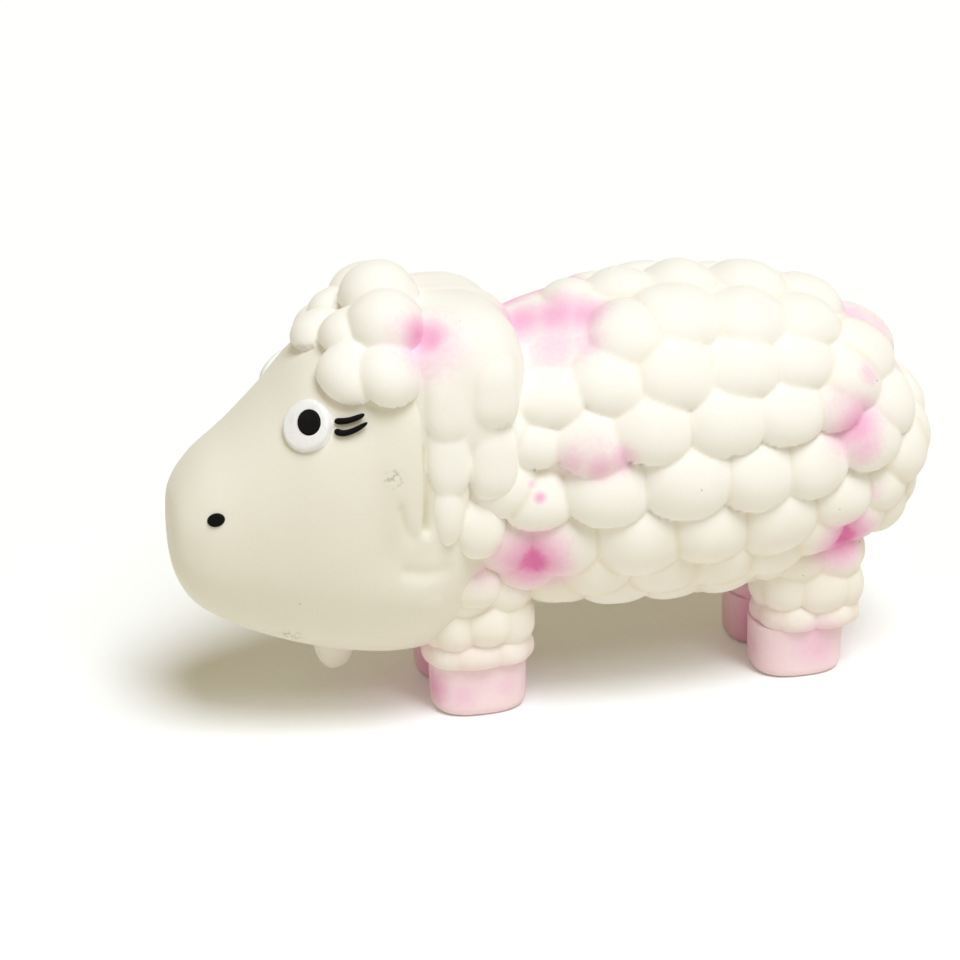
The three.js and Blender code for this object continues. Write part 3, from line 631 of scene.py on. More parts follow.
curls = both_sides(CURL_PLACES)
curl_rings = np.arccos(-signed_power(2 * curls[:, 0] - 1, END_ROUNDNESS / 2))
curl_columns = np.pi * curls[:, 1]
curl_places = barrel_point(curl_rings, curl_columns)
curl_normals = barrel_normal(curl_rings, curl_columns)
curl_downs = np.array([0, 0, -1]) + curl_normals * curl_normals[:, 2:]
curl_random = np.random.default_rng(5)
curl_halves = curls[:, 2:] * CURL_HALVES * curl_random.uniform(0.94, 1.06, (len(curls), 2))
curl_downs += curl_random.normal(0, 0.16, (len(curls), 1)) * np.cross(curl_normals, curl_downs)
print(len(curls), "curls")

# %% [markdown]
# ## The fleece
# One grid of about half a millimetre covers the barrel. Each point moves out to the highest
# curl, and how far that one stands above the next tells how near to a crease the point lies.

# %% Fleece
FLEECE_FLOOR, FLEECE_SOFTNESS, FLEECE_LUMPS, LUMP_SIZE = 0.9, 0.18, 0.2, 11.0
ring, column = np.meshgrid(barrel_rings(280), COLUMN_ANGLES, indexing="ij")
barrel_skin = barrel_point(ring, column)
caps = curl_caps(barrel_skin, curl_places, curl_normals, curl_downs, curl_halves,
                 CURL_HEIGHT * curls[:, 2], CURL_TILT * curls[:, 2])
heights = np.stack([*caps, np.full(ring.shape, FLEECE_FLOOR)])
rise = soft_maximum(heights, FLEECE_SOFTNESS) \
    + FLEECE_LUMPS * soft_noise(barrel_skin, LUMP_SIZE, 3)
fleece_points = barrel_skin + barrel_normal(ring, column) * rise[..., None]
# How near to a crease each point lies, which sets the shade painted there.
fleece_crease = crease_of(heights)
print("curls stand up to", rise.max().round(1), "mm over the barrel")

# %% [markdown]
# ## The hollow inside
# The real latex is a thin skin that is poured into a mould and emptied again. The fleece gets
# an inner side of its own, because a Solidify modifier would cross itself in the creases. It
# thickens to a collar in the belly, where a stepped round hole takes the squeaker: wide for
# the flange and narrow for the barrel. A turned cutter takes the hole out of the skin.

# %% Lining and squeaker hole
SQUEAKER_X, FLANGE_RADIUS, FLANGE_THICKNESS = 14.75, 9.0, 1.4
BARREL_RADIUS, BARREL_DEPTH = 6.7, 13.0
SEAM_GAP, SEAT_PLANE, COLLAR_TOP, COLLAR_RADIUS = 0.3, 22.4, 24.4, 11.0
LINING_DEPTH, CUTTER_BOTTOM, CUTTER_TOP = 1.2, 8.0, COLLAR_TOP + 2


def barrel_cloud(rings, columns, depth):
    """The barrel sunk by a depth, and how far each of its points is from the squeaker."""
    ring, column = np.meshgrid(barrel_rings(rings), full_turn(columns), indexing="ij")
    points = barrel_point(ring, column) - depth * barrel_normal(ring, column)
    return points, np.hypot(points[..., 0] - SQUEAKER_X, points[..., 1])


lining, from_squeaker = barrel_cloud(64, 80, LINING_DEPTH)
over_collar = (from_squeaker < COLLAR_RADIUS + 1) & (lining[..., 2] < COLLAR_TOP)
lining[over_collar, 2] = COLLAR_TOP
fleece = skin_piece(
    "fleece", fleece_points, fleece_latex, latex_values(fleece_points, fleece_crease), lining,
)
wide, narrow, pin = FLANGE_RADIUS + SEAM_GAP, BARREL_RADIUS + SEAM_GAP, 0.001
cut_away(fleece, turned_piece("squeaker_hole", [
    [pin, CUTTER_BOTTOM], [wide, CUTTER_BOTTOM], [wide, SEAT_PLANE],
    [narrow, SEAT_PLANE], [narrow, CUTTER_TOP], [pin, CUTTER_TOP],
], [SQUEAKER_X, 0, 0], fleece_latex))
settle(fleece, "fleece_body")

# %% [markdown]
# ## The head
# The face is smooth latex, fuller at the muzzle and flatter at the cheeks. It could be a
# squashed ball, but its outline is the toy's most telling line, so the head is lofted: at each
# share of the way from the muzzle to the back a rounded section is stretched between the
# outline of the brow and the outline of the jaw. Shallow grooves are then pressed along lines
# beside the ear and over the jaw.

# %% Outlines of the head
HEAD_FRONT, HEAD_LENGTH, HEAD_HEIGHT, HEAD_WIDTH = -80.0, 72.5, 77.9, 53.0
CHIN_HEIGHT, HEAD_ROUNDNESS, HEAD_WALL = 12.4, 2.25, 2.4
STEP_ALONG, STEP_ROUND, GROOVE_SHADE = 0.002, 0.006, 0.9
HEAD_TOP = np.array([
    [0, 0.381], [0.014, 0.483], [0.076, 0.566], [0.18, 0.643], [0.283, 0.733], [0.372, 0.823],
    [0.483, 0.9], [0.607, 0.972], [0.745, 0.952], [0.869, 0.937], [0.966, 0.858], [1, 0.691],
])
HEAD_UNDERSIDE = np.array([
    [0, 0.381], [0.007, 0.275], [0.055, 0.187], [0.152, 0.123], [0.262, 0.076], [0.372, 0.041],
    [0.483, 0.015], [0.607, 0], [0.731, 0.008], [0.869, 0.072], [0.966, 0.33], [1, 0.691],
])
HEAD_WIDTHS = np.array([0, 0.36, 0.55, 0.7, 0.83, 0.93, 0.985, 0.99, 0.86, 0.68, 0.42, 0])


# %% Head surface
def smooth_curve(values, share):
    """A curve through evenly spaced values: a cubic whose slopes are those of the neighbours."""
    padded = np.concatenate([[2 * values[0] - values[1]], values, [2 * values[-1] - values[-2]]])
    steps = len(values) - 1
    step = np.clip(np.floor(share * steps).astype(int), 0, steps - 1)
    t = share * steps - step
    before, here, there, after = (padded[step + k] for k in range(4))
    slope_in, slope_out, rise = (there - before) / 2, (after - here) / 2, there - here
    return here + slope_in * t + (3 * rise - 2 * slope_in - slope_out) * t ** 2 \
        + (slope_in + slope_out - 2 * rise) * t ** 3


def head_point(along, angle):
    """The head at a share along and an angle round from the brow towards the right side."""
    ends = [
        np.stack([
            HEAD_FRONT + HEAD_LENGTH * smooth_curve(shares[:, 0], along), 0 * along,
            CHIN_HEIGHT + HEAD_HEIGHT * smooth_curve(shares[:, 1], along),
        ], axis=-1) for shares in (HEAD_TOP, HEAD_UNDERSIDE)
    ]
    middle, half_height = (ends[0] + ends[1]) / 2, (ends[0] - ends[1]) / 2
    half_width = HEAD_WIDTH / 2 * smooth_curve(HEAD_WIDTHS, along)
    power = 2 / HEAD_ROUNDNESS
    point = middle + half_height * signed_power(np.cos(angle), power)[..., None]
    point[..., 1] += half_width * signed_power(np.sin(angle), power)
    return point


def head_normal(along, angle):
    """The cross product of two small steps over the head."""
    near = np.clip(along, 2 * STEP_ALONG, 1 - 2 * STEP_ALONG)
    backward = head_point(near + STEP_ALONG, angle) - head_point(near - STEP_ALONG, angle)
    turned = head_point(near, angle + STEP_ROUND) - head_point(near, angle - STEP_ROUND)
    return one_long(np.cross(backward, turned))


def head_grid(rings, columns):
    """Shares along the head, evenly spaced over the brow, and angles round it."""
    alongs = even_angles(lambda share: head_point(share, 0 * share), 0, 1, rings)
    return np.meshgrid(alongs, full_turn(columns), indexing="ij")


# %% Face
FACE_GROOVES = [  # width, depth and the line that each is pressed along
    ("under the ears", 9.0, 2.4, [(-32, 0, 86), (-18, 0, 85), (-11, 0, 79.5)]),
    ("behind the cheek's swell", 7.5, 1.1, [
        (-41, -26.4, 74), (-40.6, -26.6, 58), (-39.4, -26, 42)]),
    ("beside the ear", 1.1, 1.7, [
        (-31.5, -22.5, 77), (-31.6, -23.7, 68), (-32, -24.6, 56), (-32.4, -24.9, 46)]),
    ("behind the cheek", 0.9, 0.45, [
        (-37.6, -26.4, 51.5), (-36.6, -26.2, 46.8), (-35.4, -25.9, 44.6)]),
    ("bulge of the jaw curl", 6.5, -1.5, [(-33, -25, 31), (-31.5, -24.6, 27)]),
    ("over the jaw", 1.3, 0.7, [(-36.6, -25.8, 37.6), (-32.9, -25, 36.6), (-28, -23.5, 36.2)]),
]


def groove_depth(points):
    """Depth of all grooves: for each a bell curve of the distance to its line."""
    points = on_the_left(points)
    total = np.zeros(points.shape[:-1])
    for _, width, depth, line in FACE_GROOVES:
        nearest = np.full(points.shape[:-1], np.inf)
        for start, end in zip(np.array(line[:-1]), np.array(line[1:])):
            way = end - start
            share = np.clip((points - start) @ way / np.sum(way ** 2), 0, 1)
            gap = np.linalg.norm(points - start - share[..., None] * way, axis=-1)
            nearest = np.minimum(nearest, gap)
        total = total + depth * np.exp(-((nearest / width) ** 2))
    return total


head_places, lining_places = head_grid(200, 240), head_grid(60, 72)
head_points = head_point(*head_places)
head_depth = groove_depth(head_points)
head_points = head_points - head_depth[..., None] * head_normal(*head_places)
head_lining = head_point(*lining_places) - HEAD_WALL * head_normal(*lining_places)
# The face has shade painted into its grooves, where they are deeper than GROOVE_SHADE.
head = skin_piece("face", head_points, face_latex, {
    "crease": np.clip(head_depth - GROOVE_SHADE, 0, 1),
    "paint": sprayed(head_points, 0 * head_depth),
}, head_lining)
settle(head, "head")

# %% [markdown]
# ## Places on the head
# The forelock, ears, eyes and lashes are placed by two shares: how far along the head, and
# how far round from the brow to the chin on the left side.

# %% Head seats
def head_seat(along, round_share):
    """Point, outward, backward and upward directions at a place on the head's left side."""
    along, round_share = np.asarray(along, float), np.asarray(round_share, float)
    angle = -np.pi * round_share
    point, outward = head_point(along, angle), head_normal(along, angle)
    backward = one_long(head_point(along + 0.004, angle) - head_point(along - 0.004, angle))
    return point, outward, backward, np.cross(outward, backward)


def head_patch(name, alongs, rounds, rise_of, finish, depth=2.2, heading_of=None):
    """A patch over the head: pushed along its headings by a function, its inner side sunk."""
    along, round_share = np.meshgrid(alongs, rounds, indexing="ij")
    angle = -np.pi * round_share
    points, headings = head_point(along, angle), head_normal(along, angle)
    if heading_of:
        headings = heading_of(points, headings)
    rise, crease = rise_of(points, headings)
    outer = points + headings * rise[..., None]
    return patch_piece(name, outer, points - depth * headings, finish, latex_values(outer, crease))


def mirrored_copy(piece, name):
    """The same piece on the right side, its faces turned round so that they point outwards."""
    twin = new_object(name, piece.data.copy())
    twin.data.name = name
    twin.data.transform(Matrix.Diagonal((1, -1, 1, 1)))
    twin.data.flip_normals()
    return twin


# %% [markdown]
# ## The forelock
# Curls like those of the body, but smaller and rounder, cover the forehead. They could be
# part of the face's mesh, but a patch of its own gets a grid that is fine enough for them.
# They stand on a low pad, so that no gap shows the bare forehead between them.

# %% Forelock
FORELOCK_HALVES, FORELOCK_HEIGHT, FORELOCK_TILT = np.array([7.1, 6.9]), 4.4, 1.6
FORELOCK_FLOOR, FORELOCK_SOFTNESS, FORELOCK_DOWN = 1.4, 0.25, np.array([-0.7, 0, -0.7])
PAD_REACH, PAD_EDGE, PAD_SINK = 3.6, 3.0, 6.0
FORELOCK_PLACES = np.array([
    [0.513, 0, 0.9], [0.637, 0, 1.15], [0.562, 0.09, 0.9], [0.632, 0.135, 1.12],
    [0.552, 0.2, 1], [0.617, 0.255, 0.97],
])
forelock_curls = both_sides(FORELOCK_PLACES)
forelock_places, forelock_normals, _, _ = head_seat(forelock_curls[:, 0], -forelock_curls[:, 1])
forelock_downs = FORELOCK_DOWN - forelock_normals * (forelock_normals @ FORELOCK_DOWN)[:, None]


def forelock_rise(points, normals):
    """The curls of the forelock over a pad that sinks away beyond them."""
    sizes = forelock_curls[:, 2]
    caps = curl_caps(points, forelock_places, forelock_normals, forelock_downs,
                     sizes[:, None] * FORELOCK_HALVES, sizes * FORELOCK_HEIGHT,
                     sizes * FORELOCK_TILT)
    reach = np.min([np.linalg.norm(points - place, axis=-1) for place in forelock_places], axis=0)
    pad = FORELOCK_FLOOR - PAD_SINK * np.clip((reach - PAD_REACH) / PAD_EDGE, 0, 1)
    heights = np.stack([*caps, pad])
    # The crease value sets the shade painted between the curls.
    return soft_maximum(heights, FORELOCK_SOFTNESS), crease_of(heights)


forelock = head_patch(
    "forelock_curls", np.linspace(0.42, 0.74, 120), np.linspace(-0.37, 0.37, 200),
    forelock_rise, fleece_latex, depth=3.4,
)
settle(forelock, "forelock")

# %% [markdown]
# ## The ears
# Each ear is a broad dome on the crown with two stepped locks that hang beside the face. A
# lobe leans outwards on its way down and ends in a ledge over the next one. As the lobes hang
# well clear of the head, a height over the skin can't give them: each point looks along its
# own heading for the far side of every lobe instead. The left patch is mirrored to the right,
# and both dip under each other past the middle, so that no seam shows on the crown.

# %% Ears
EAR_LOBES = [
    ("dome", (-24.2, -7.4, 69.2), (14.4, 17.0, 17.6), 2.7, 0.0),
    ("crown", (-25.0, 0.0, 73.2), (16.2, 12.5, 13.4), 2.7, 0.0),
    ("front lock, upper lobe", (-27.8, -20.1, 70.4), (4.9, 5.1, 8.4), 2.7, 0.1),
    ("front lock, middle lobe", (-27.8, -20.4, 60.4), (4.7, 4.8, 9.0), 2.7, 0.12),
    ("front lock, tip", (-28.3, -20.7, 50.4), (3.9, 4.7, 9.2), 2.0, 0.12),
    ("under the front lock", (-27.6, -20.0, 53.0), (4.2, 3.9, 11.0), 2.3, 0.0),
    ("rear lock, upper lobe", (-18.9, -18.9, 72.0), (5.6, 6.3, 7.8), 2.8, 0.12),
    ("rear lock, lower lobe", (-18.8, -18.9, 58.4), (5.5, 6.1, 8.8), 2.8, 0.1),
    ("below the locks", (-21.4, -18.8, 44.2), (5.6, 5.2, 7.2), 2.2, 0.08),
    ("above the leg", (-21.4, -15.0, 29.6), (5.4, 5.0, 4.8), 2.4, 0.0),
    ("behind the locks", (-22.0, -16.6, 60.0), (7.4, 5.2, 17.0), 2.4, 0.0),
]
EAR_AXIS_HEIGHT, EAR_LEAN, EAR_SOFTNESS, LOWEST = 52.0, 0.5, 0.3, -3.0
EAR_TUCK, EAR_SHADE, EAR_CREASE = 1.2, 0.45, 0.5
PIT_PLACE, PIT_DEPTH, PIT_REACH = np.array([-31.2, -17.5, 80.5]), 2.8, 3.0


def away_from_axis(points, normals):
    """Headings away from a line along the head, leaning a little with the surface."""
    headings = one_long(points * [0, 1, 1] - [0, 0, EAR_AXIS_HEIGHT])
    headings[..., 0] = EAR_LEAN * normals[..., 0]
    return one_long(headings)


def ear_rise(points, headings):
    """The highest of the dome and the lobes, rounded where they meet."""
    rises = [np.full(points.shape[:-1], LOWEST)]
    for _, centre, halves, boxiness, lean in EAR_LOBES:
        upright = points + [0, lean, 0] * (centre[2] - points[..., 2:])
        turned = headings - [0, lean, 0] * headings[..., 2:]
        rises.append(rise_to_lobe(upright, turned, centre, halves, boxiness, LOWEST))
    heights = np.stack(rises)
    from_pit = np.linalg.norm(points - PIT_PLACE, axis=-1)
    pit = PIT_DEPTH * np.exp(-(from_pit / PIT_REACH) ** 2)
    tuck = EAR_TUCK * np.clip(points[..., 1], 0, 1)
    rise = soft_maximum(heights, EAR_SOFTNESS) - pit - tuck
    # The crease value sets the shade painted between the lobes.
    return rise, EAR_SHADE * crease_of(heights, EAR_CREASE)


ear_left = head_patch(
    "ear_lock_left", np.linspace(0.62, 0.985, 150), np.linspace(-0.02, 0.87, 316),
    ear_rise, fleece_latex, depth=4.0, heading_of=away_from_axis,
)
ear_right = mirrored_copy(ear_left, "ear_lock_right")
settle(ear_left, "ear_left")
settle(ear_right, "ear_right")

# %% [markdown]
# ## Jaw curl, chin tuft and tail
# A tuft under the chin and a stub of a tail are balls with three half sizes and soft dents.
# The swelling behind each jaw has no edge on the real toy, so it is a patch over the head
# that dips under the face at its rim.

# %% Lumps
DENT_DEPTH, DENT_SIZE = 0.15, 6.0


def lump_piece(name, node, centre, halves):
    """A ball with three half sizes, its poles up and down, pushed in and out by soft noise."""
    polar, turn = np.meshgrid(np.linspace(0, np.pi, 48), full_turn(64), indexing="ij")
    unit = np.stack(
        [np.sin(polar) * np.cos(turn), np.sin(polar) * np.sin(turn), np.cos(polar)], axis=-1)
    grid = centre + unit * halves
    grid = grid + unit * DENT_DEPTH * soft_noise(grid, DENT_SIZE, 1)[..., None]
    grid[0], grid[-1] = grid[0, 0], grid[-1, 0]
    piece = skin_piece(name, grid, fleece_latex, latex_values(grid, 0 * polar))
    settle(piece, node)


JAW_PLACE, JAW_SWELL, JAW_REACH = np.array([-32.2, -25.0, 29.0]), 2.1, 5.5
JAW_SINK, JAW_RIM, JAW_EDGE = 0.1, 5.0, 2.5


def jaw_rise(points, _):
    """A low swelling, a bell of the distance from its middle, that dips under the face."""
    reach = np.linalg.norm(points - JAW_PLACE, axis=-1)
    dip = JAW_SINK + np.clip((reach - JAW_RIM) / JAW_EDGE, 0, 1)
    return JAW_SWELL * np.exp(-((reach / JAW_REACH) ** 2)) - dip, 0 * reach


jaw_left = head_patch(
    "jaw_lump_left", np.linspace(0.57, 0.75, 50), np.linspace(0.6, 0.79, 60), jaw_rise, face_latex,
)
jaw_right = mirrored_copy(jaw_left, "jaw_lump_right")
settle(jaw_left, "jaw_curl_left")
settle(jaw_right, "jaw_curl_right")
tuft_centre, _, _, _ = head_seat(0.515, 1.0)
lump_piece("chin_lock", "chin_tuft", tuft_centre, [4.4, 3.2, 6.9])
lump_piece("tail_stub", "tail", [BODY_REAR, 0.0, 48.0], [4.1, 4.9, 7.8])

# %% [markdown]
# ## Legs and hooves
# Four short legs stand under the body, each a rounded stump with rows of small curls whose
# lowest row hangs over the hoof like a cuff. A hoof is a smooth pink block with a softened
# sole edge. Both are stacks of one rounded section, which a Bevel on a box can't give.

# %% Leg curls
LEG_HALVES, HOOF_HALVES = np.array([9.5, 7.6]), np.array([9.8, 7.7])
HOOF_HEIGHT, LEG_TOP, LEG_ROUNDNESS, LEG_FLOOR, LEG_SOFTNESS = 11.4, 31.0, 2.6, 0.5, 0.2
SOLE_EDGE, CUFF_TOP, CUFF_CURL, LEG_CURL, LEG_TILT = 2.2, 16.0, 2.2, 3.0, 0.9
LEG_SEAT, LEG_SHADE = 0.98, 0.5
LEG_CURLS = {  # angle from straight ahead, height, half width and half height
    "front": [
        (200, 20.4, 4.6, 5.4), (237, 20.2, 4.6, 5.2), (272, 21.0, 4.8, 5.2), (315, 20.4, 5.2, 5.4),
        (5, 20.0, 5.2, 5.4), (160, 20.4, 5.2, 5.4), (120, 20.4, 5.2, 5.4), (60, 20.4, 5.2, 5.4),
        (222, 14.0, 5.6, 3.6), (265, 14.2, 5.8, 3.6), (305, 14.0, 5.4, 3.6), (345, 14.0, 5.2, 3.6),
        (185, 14.0, 5.2, 3.6), (140, 14.0, 6.0, 3.6), (90, 14.0, 7.0, 3.6), (35, 14.0, 6.0, 3.6),
        (250, 28.2, 6.2, 5.6), (300, 28.2, 5.4, 5.6), (200, 28.0, 5.6, 5.6), (350, 28.0, 5.6, 5.6),
    ],
    "rear": [
        (225, 21.0, 5.2, 5.6), (275, 20.6, 5.8, 5.8), (325, 20.4, 5.8, 5.8), (10, 20.4, 5.6, 5.8),
        (180, 20.4, 5.2, 5.6), (130, 20.4, 6.0, 5.6), (70, 20.4, 6.0, 5.6), (212, 14.2, 5.0, 3.6),
        (248, 14.0, 5.0, 3.6), (290, 14.2, 5.8, 3.6), (335, 14.0, 5.8, 3.6), (15, 14.0, 5.6, 3.6),
        (175, 14.0, 5.2, 3.6), (120, 14.0, 6.8, 3.6), (60, 14.0, 6.8, 3.6), (245, 27.8, 6.2, 5.6),
        (300, 27.4, 6.4, 5.8), (350, 27.6, 6.0, 5.6), (195, 27.8, 5.6, 5.6),
    ],
}


# %% Stumps
def section(angle, halves):
    """A rounded rectangle round a leg, by its angle from straight ahead."""
    power = 2 / LEG_ROUNDNESS
    return np.stack([
        halves[0] * signed_power(np.cos(angle), power),
        halves[1] * signed_power(np.sin(angle), power),
    ], axis=-1)


def stump_grid(centre, halves, heights, shares, columns=160):
    """Sections stacked at some heights, each a share of the full size; closed at both ends."""
    angle = even_angles(lambda turn: section(turn, halves), 0, 2 * np.pi, columns + 1)[:-1]
    flat = section(angle, halves)[None] * np.asarray(shares)[:, None, None] + centre[:2]
    tall = np.broadcast_to(np.asarray(heights, float)[:, None, None], (*flat.shape[:2], 1))
    return np.concatenate([flat, tall], axis=-1)


def leg_grid(centre, curls):
    """A stump with rows of small curls: their angles, heights and half sizes are in a table."""
    heights = [*[HOOF_HEIGHT] * 2, *np.linspace(HOOF_HEIGHT, LEG_TOP, 90), LEG_TOP]
    grid = stump_grid(centre, LEG_HALVES, heights, [0, 0.9, *np.linspace(0.99, 0.96, 90), 0])
    outward = (grid - centre) * [1, 1, 0]
    outward /= np.maximum(np.linalg.norm(outward, axis=-1, keepdims=True), 1e-6)
    angles, levels, *halves = np.array(curls).T
    angles = np.radians(angles)
    places = np.column_stack([centre[:2] + LEG_SEAT * section(angles, LEG_HALVES), levels])
    normals = np.stack([np.cos(angles), np.sin(angles), 0 * angles], axis=-1)
    downs = np.tile([0.0, 0.0, -1.0], (len(angles), 1))
    caps = curl_caps(
        grid, places, normals, downs, np.stack(halves, axis=-1),
        np.where(levels > CUFF_TOP, LEG_CURL, CUFF_CURL), np.full(len(angles), LEG_TILT),
    )
    rises = np.stack([*caps, np.full(grid.shape[:2], LEG_FLOOR)])
    rise = soft_maximum(rises, LEG_SOFTNESS)
    rise[[0, -1]] = 0
    # The crease value sets the shade painted between the curls.
    return grid + outward * rise[..., None], LEG_SHADE * crease_of(rises)


def hoof_grid(centre):
    """A stump with a quarter-round sole edge and a slight flare to the top."""
    turn = np.linspace(0, np.pi / 2, 12)
    heights = [0, 0, *SOLE_EDGE * (1 - np.cos(turn)), *np.linspace(SOLE_EDGE, 11.0, 16)[1:],
               HOOF_HEIGHT - 0.1, HOOF_HEIGHT, HOOF_HEIGHT]
    shares = [0, 0.7, *1 - 0.2 * (1 - np.sin(turn)), *np.linspace(1, 1.02, 16)[1:], 1.01, 0.98, 0]
    return stump_grid(centre, HOOF_HALVES, heights, shares)


# %% Legs and hooves
for row, x, lean in (("front", -19.5, 0.0), ("rear", 50.2, 2.0)):
    leg_points, leg_crease = leg_grid(np.array([x + lean, -8.2, 0]), LEG_CURLS[row])
    skin_pair(f"leg_curls_{row}", leg_points, fleece_latex, f"leg_{row}",
              latex_values(leg_points, leg_crease))
    hoof_points = hoof_grid(np.array([x, -8.3, 0]))
    skin_pair(f"hoof_block_{row}", hoof_points, hoof_latex, f"hoof_{row}",
              latex_values(hoof_points, 0 * hoof_points[..., 0]))

# %% [markdown]
# ## Painted face
# The eyes are low white buttons with a smaller black one on each as the pupil. The nostrils
# are black buttons too, and the lashes are strokes of paint that stand proud of the latex.
# Painting them in the face's material would leave nothing to take apart, so each is a small
# mesh on the head.

# %% Paint finishes
def paint_finish(name, colour, worn, roughness, shine):
    """Brushed enamel: a slightly uneven film with faint worn patches."""
    material, shader, place = new_finish(name, {"Specular IOR Level": shine})
    patches = place.noise(2.2, detail=3.0)
    feed(
        shader, Base_Color=patches.band(0.5, 0.8).blend(colour, worn),
        Roughness=roughness + 0.2 * place.noise(1.0),
        Normal=bump(place, place.noise(0.8, detail=2.0), 0.08),
    )
    return material


white_paint = paint_finish(
    "white_paint", written(242, 241, 241), written(231, 230, 229), 0.35, 0.5,
)
black_paint = paint_finish("black_paint", written(8, 6, 4), written(18, 14, 10), 0.5, 0.08)
print("white and black enamel made")

# %% Eyes
LARGEST_RIM = 0.9


def button_grid(seat, halves, rise, root, lift=0.0, bulge=0.0, columns=72):
    """A round button on the head: a rim rounded by a quarter circle and a slightly domed top."""
    point, outward, backward, upward = seat
    turn = np.linspace(0, np.pi / 2, 9)
    rim = min(rise, LARGEST_RIM)
    inset = rim / halves[0]
    radial = np.array([
        0, 0.6, 1, 1, *1 - inset * (1 - np.cos(turn)), *np.linspace(1 - inset, 0, 14)[1:]])
    level = np.array([*[-root] * 3, 0, *rise - rim * (1 - np.sin(turn)), *[rise] * 13]) + lift
    level = level + bulge * np.where(level > lift, 1 - radial ** 2, 0)
    angle = full_turn(columns)[:, None]
    circle = halves[0] * np.cos(angle) * backward + halves[1] * np.sin(angle) * upward
    return point + radial[:, None, None] * circle[None] + level[:, None, None] * outward


eye_grid = button_grid(head_seat(0.442, 0.259), (5.0, 5.2), 0.8, 1.6, bulge=0.5)
pupil_grid = button_grid(
    head_seat(0.4535, 0.2625), (2.4, 2.7), 0.5, 0.3, lift=1.0, bulge=0.12,
)
nostril_grid = button_grid(head_seat(0.2235, 0.386), (1.85, 1.3), 0.5, 0.8)
skin_pair("eye_button", eye_grid, white_paint, "eye_white")
skin_pair("pupil_paint", pupil_grid, black_paint, "pupil")
skin_pair("nostril_paint", nostril_grid, black_paint, "nostril")


# %% Lashes
LASH_LIFT, LASH_RADIUS = 0.25, 0.6


def stroke_grid(points, radius, sections=40, columns=16):
    """A brush stroke: a round section carried along a parabola, thin at both ends."""
    share = np.linspace(0, 1, sections)
    fit = np.polyfit(np.linspace(0, 1, len(points)), points, 2)
    path = np.stack([np.polyval(fit[:, axis], share) for axis in range(3)], axis=-1)
    along = one_long(np.gradient(path, axis=0))
    across = one_long(np.cross(along, [0.0, 0.0, 1.0]))
    lift = np.cross(across, along)
    width = radius * np.sqrt(np.clip(1 - (2 * share - 1) ** 6, 0, 1)) * (1.15 - 0.35 * share)
    angle = full_turn(columns)[:, None]
    ring = np.cos(angle) * across[:, None] + np.sin(angle) * lift[:, None]
    return path[:, None] + width[:, None, None] * ring


lash_places = {
    "lash_upper": [[0.501, 0.287], [0.53, 0.302], [0.561, 0.307]],
    "lash_lower": [[0.5, 0.3055], [0.524, 0.324], [0.565, 0.3255]],
}
for node, places in lash_places.items():
    lash_points, lash_outward, _, _ = head_seat(*np.array(places).T)
    lash_grid = stroke_grid(lash_points + LASH_LIFT * lash_outward, LASH_RADIUS)
    skin_pair(f"{node}_stroke", lash_grid, black_paint, node)

# %% [markdown]
# ## Squeaker
# A plastic squeaker is pressed into the belly: a flanged barrel with a reed on a seat under
# a slotted cap. The barrel shows from below, so it is turned afresh with softened corners.
# The parts inside it stay as they were modelled and get a moulded finish.

# %% Squeaker finishes
def plastic_finish(name, colour, shade, roughness):
    """Moulded plastic: an even colour with faint flow marks and a fine grain."""
    material, shader, place = new_finish(name, {"Specular IOR Level": 0.45})
    flow = place.noise(3.5, detail=2.0)
    feed(
        shader, Base_Color=flow.band(0.35, 0.7).blend(colour, shade),
        Roughness=roughness + 0.15 * place.noise(1.2),
        Normal=bump(place, place.noise(0.4), 0.03),
    )
    return material


squeaker_plastic = plastic_finish(
    "squeaker_plastic", written(235, 232, 224), written(226, 221, 208), 0.4,
)
reed_film = plastic_finish("reed_film", written(220, 212, 190), written(206, 196, 168), 0.2)
print("squeaker finishes made")

# %% Squeaker
FLANGE_BOTTOM = SEAT_PLANE - SEAM_GAP - FLANGE_THICKNESS
BORE_RADIUS, SOUND_HOLE_RADIUS, BARREL_FLOOR = BARREL_RADIUS - 1.0, 2.2, 1.2
BEAD_BOTTOM, BEAD_TOP, BEAD_RISE = 4.0, 5.2, 1.0
housing = turned_piece("squeaker_barrel", softened([
    [SOUND_HOLE_RADIUS, 0], [FLANGE_RADIUS, 0], [FLANGE_RADIUS, FLANGE_THICKNESS],
    [BARREL_RADIUS, FLANGE_THICKNESS], [BARREL_RADIUS, BEAD_BOTTOM],
    [BARREL_RADIUS + BEAD_RISE, (BEAD_BOTTOM + BEAD_TOP) / 2], [BARREL_RADIUS, BEAD_TOP],
    [BARREL_RADIUS, BARREL_DEPTH], [BORE_RADIUS, BARREL_DEPTH], [BORE_RADIUS, BARREL_FLOOR],
    [SOUND_HOLE_RADIUS, BARREL_FLOOR],
], 0.35), [SQUEAKER_X, 0, FLANGE_BOTTOM], squeaker_plastic)
settle(housing, "squeaker_housing")
kept_finishes = {
    "reed_seat": squeaker_plastic, "squeaker_cap": squeaker_plastic, "reed": reed_film,
}
for node_name, finish in kept_finishes.items():
    node_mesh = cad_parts[node_name].data
    node_mesh.materials.clear()
    node_mesh.materials.append(finish)

# %% [markdown]
# ## Wadding
# Loose polyester wadding keeps the thin skin in shape. It could be the skin's lining made
# smaller, but real wadding is uneven and leaves room round the squeaker, so two lumpy clouds
# follow the barrel and the head, with a pocket over the squeaker.

